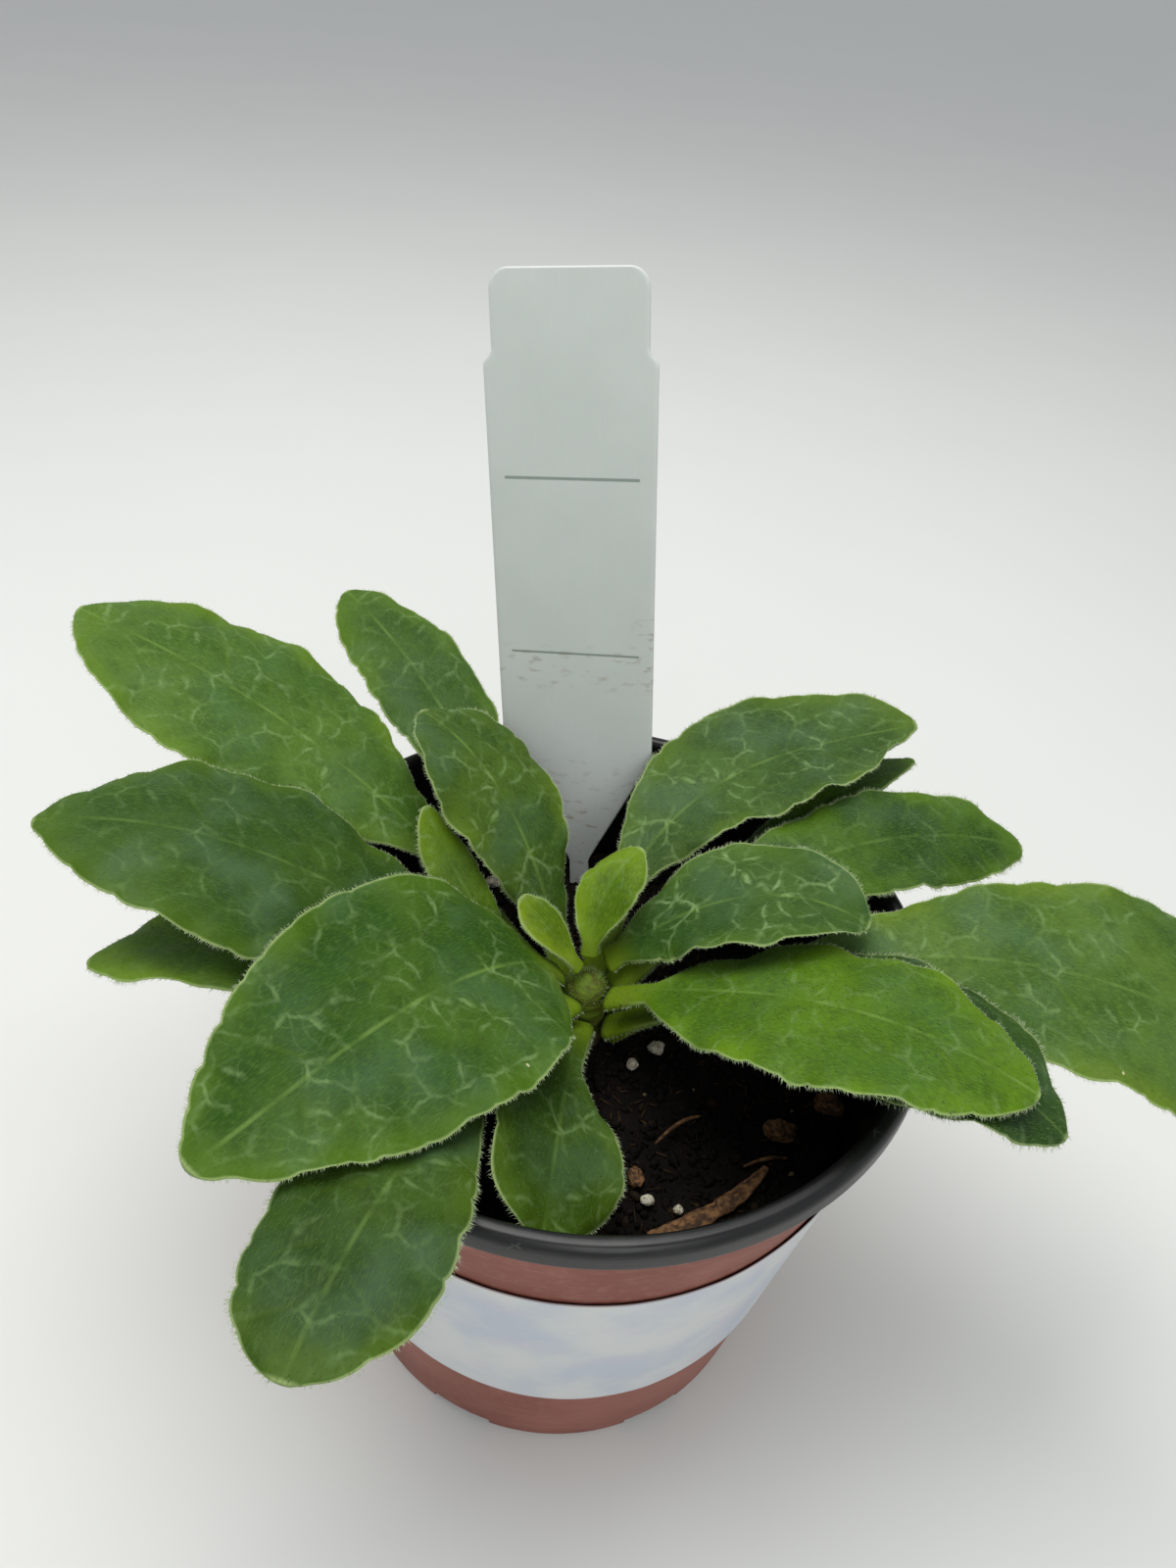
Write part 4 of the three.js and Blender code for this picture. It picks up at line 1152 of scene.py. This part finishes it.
DEEP, MID, GREY = paint(34, 62, 14), paint(38, 72, 10), paint(42, 74, 24)
# Per leaf: deep green, fresh green, network strength, painted sheen strength, midrib strength, hairs in a
# square millimetre and longest hair in millimetres.
LOOKS = {
    "leaf_back_left_outer": (paint(56, 89, 22), paint(74, 104, 33), 0.55, 0.35, 0.5, 0.7, 0.7),
    "leaf_back_upright": (paint(45, 75, 19), paint(62, 92, 26), 0.4, 0.3, 0.4, 0.7, 0.7),
    "leaf_left_outer": (paint(41, 71, 17), paint(56, 84, 22), 0.3, 0.6, 0.3, 0.9, 0.8),
    "leaf_back_left_inner": (paint(46, 74, 21), paint(67, 93, 26), 0.6, 0.45, 0.5, 0.9, 0.8),
    "leaf_left_inner": (paint(55, 86, 15), paint(81, 110, 24), 0.3, 0.2, 0.4, 1.1, 0.8),
    "leaf_front_left_broad": (MID, paint(59, 90, 20), 0.55, 0.4, 0.6, 0.9, 0.7),
    "leaf_front_left_hanging": (paint(35, 62, 11), paint(55, 81, 21), 0.35, 0.45, 0.35, 0.9, 0.9),
    "leaf_front_small": (paint(37, 63, 7), paint(55, 81, 16), 0.4, 0.4, 0.3, 1.0, 0.9),
    "leaf_right_front": (paint(59, 93, 10), paint(78, 112, 17), 0.35, 0.25, 0.6, 1.2, 1.0),
    "leaf_right_front_under": (paint(26, 51, 21), paint(40, 67, 25), 0.3, 0.4, 0.3, 1.8, 1.15),
    "leaf_right_outer": (paint(55, 86, 25), paint(78, 106, 38), 0.5, 0.5, 0.4, 0.8, 0.8),
    "leaf_right_inner": (GREY, paint(59, 88, 31), 0.85, 0.4, 0.4, 1.0, 0.8),
    "leaf_back_right_broad": (paint(46, 72, 25), paint(65, 92, 35), 0.6, 0.5, 0.4, 0.9, 0.85),
    "leaf_right_middle": (DEEP, paint(63, 95, 22), 0.25, 0.35, 0.3, 1.2, 1.1),
    "leaf_back_right_under": (DEEP, paint(55, 82, 19), 0.2, 0.2, 0.2, 0.9, 0.8),
    "leaf_left_under": (paint(65, 96, 26), paint(86, 118, 36), 0.2, 0.3, 0.2, 0.9, 0.9),
    "leaf_young_centre": (paint(65, 95, 8), paint(92, 121, 19), 0.25, 0.1, 0.4, 2.4, 0.6),
    "leaf_bud": (paint(70, 99, 12), paint(99, 124, 26), 0.3, 0.1, 0.4, 2.6, 0.6),
}

# %% Grow every leaf
UNDERSIDE = 40  # what the plan's third number is under a leaf; it is 0 above and half of this at the margin
for seed, (node, numbers) in enumerate(LEAVES.items(), start=100):
    leaf = dict(zip(LEAF_KEYS, numbers))
    young = node in YOUNG
    deep, fresh, silver, bloom_and_sheen, rib, density, longest = LOOKS[node]
    top, under, along, across, margin, stalkness, tip = blade(leaf, young, seed)
    points, quads, triangles = closed_sheet(top, under, tip=tip)
    plan = np.stack([along - leaf["stalk"] * leaf["length"], across, 0 * across], -1)
    below = plan + np.array([0, 0, UNDERSIDE])
    plan[:, [0, -1], 2] = UNDERSIDE / 2
    plan = over_and_under(plan, below).reshape(-1, 3)
    margin, stalk = (over_and_under(grid, grid).ravel() for grid in (margin, stalkness))
    hair_solid, fringe = hairs(top, under, young, density, longest, seed)
    solid = joined((points, quads, triangles), hair_solid)
    spare = np.zeros(len(fringe))
    attributes = {
        "plan": np.concatenate([plan, plan[[0, -1]], np.zeros((len(fringe), 3))]),
        "margin": np.concatenate([margin, margin[[0, -1]], spare]),
        "stalk": np.concatenate([stalk, stalk[[0, -1]], spare]),
        "fringe": np.concatenate([np.zeros(len(points)), fringe]),
    }
    parts = np.concatenate([np.zeros(len(quads) + len(triangles)), np.ones(len(fringe))])
    mesh = make_mesh(node + "_grown", *solid, attributes, parts)
    skin = leaf_finish(node + "_skin", deep, fresh, silver, bloom_and_sheen, rib)
    place(mesh, node, "young_leaf" if young else "leaf", skin, hair_finish, sharp=180)

# %% [markdown]
# The plant stands on a plain pale floor that fades into an equally pale surround.
# One large soft light overhead and a weak one in front give soft shadows and a gentle sheen on the leaves.

# %% Floor, light and camera
floor_finish = Finish("pale_floor", Specular_IOR_Level=0.2)
tint = floor_finish.noise(floor_finish.object_millimetres(), 0.01, 2)
floor_finish.dress(floor_finish.mix(tint, paint(222, 223, 219), paint(226, 227, 223)), 0.7 + tint * 0.1)
FLOOR_SIZE = 60  # metres, so that its far edge isn't seen
FLOOR_DROP = 0.0002
bpy.ops.mesh.primitive_plane_add(size=FLOOR_SIZE, location=(0, 0, -FLOOR_DROP))
floor = bpy.context.active_object
floor.name = "floor"
floor.data.materials.append(floor_finish.material)

surround = bpy.data.worlds.new("surround")
surround.use_nodes = True
sky = surround.node_tree.nodes["Background"].inputs
sky["Color"].default_value = (0.93, 0.96, 1.0, 1)
sky["Strength"].default_value = 0.52
bpy.context.scene.world = surround


def soft_light(name, place_at, aim, size, watts, tint):
    """A square area light that faces the point it aims at."""
    data = bpy.data.lights.new(name, "AREA")
    data.size, data.energy, data.color = size, watts, tint
    light = bpy.data.objects.new(name, data)
    bpy.context.scene.collection.objects.link(light)
    light.location = place_at
    light.rotation_euler = (Vector(aim) - Vector(place_at)).to_track_quat("-Z", "Y").to_euler()


soft_light("overhead", (-0.12, 0.12, 0.85), (0, 0, 0.06), size=0.6, watts=5.4, tint=(1, 0.985, 0.96))
soft_light("front_fill", (0.25, -0.8, 0.6), (0, 0, 0.05), size=0.5, watts=2.0, tint=(1, 1, 1))

EYE = (0, -0.1341, 0.2423)
EYE_TURN = 1.6  # degrees to the left
EYE_PITCH = 39.86  # downwards
EYE_ROLL = 6.53
camera_data = bpy.data.cameras.new("camera")
camera_data.sensor_width = 36
camera_data.lens = 26.4
camera_data.clip_start = 0.01
camera = bpy.data.objects.new("camera", camera_data)
bpy.context.scene.collection.objects.link(camera)
looking = (
    Matrix.Rotation(math.radians(EYE_TURN), 4, "Z")
    @ Matrix.Rotation(math.radians(90 - EYE_PITCH), 4, "X")
    @ Matrix.Rotation(math.radians(EYE_ROLL), 4, "Z")
)
camera.matrix_world = Matrix.Translation(EYE) @ looking
bpy.context.scene.camera = camera
bpy.context.scene.view_settings.view_transform = "Standard"
print("camera at", tuple(round(c, 4) for c in camera.location))
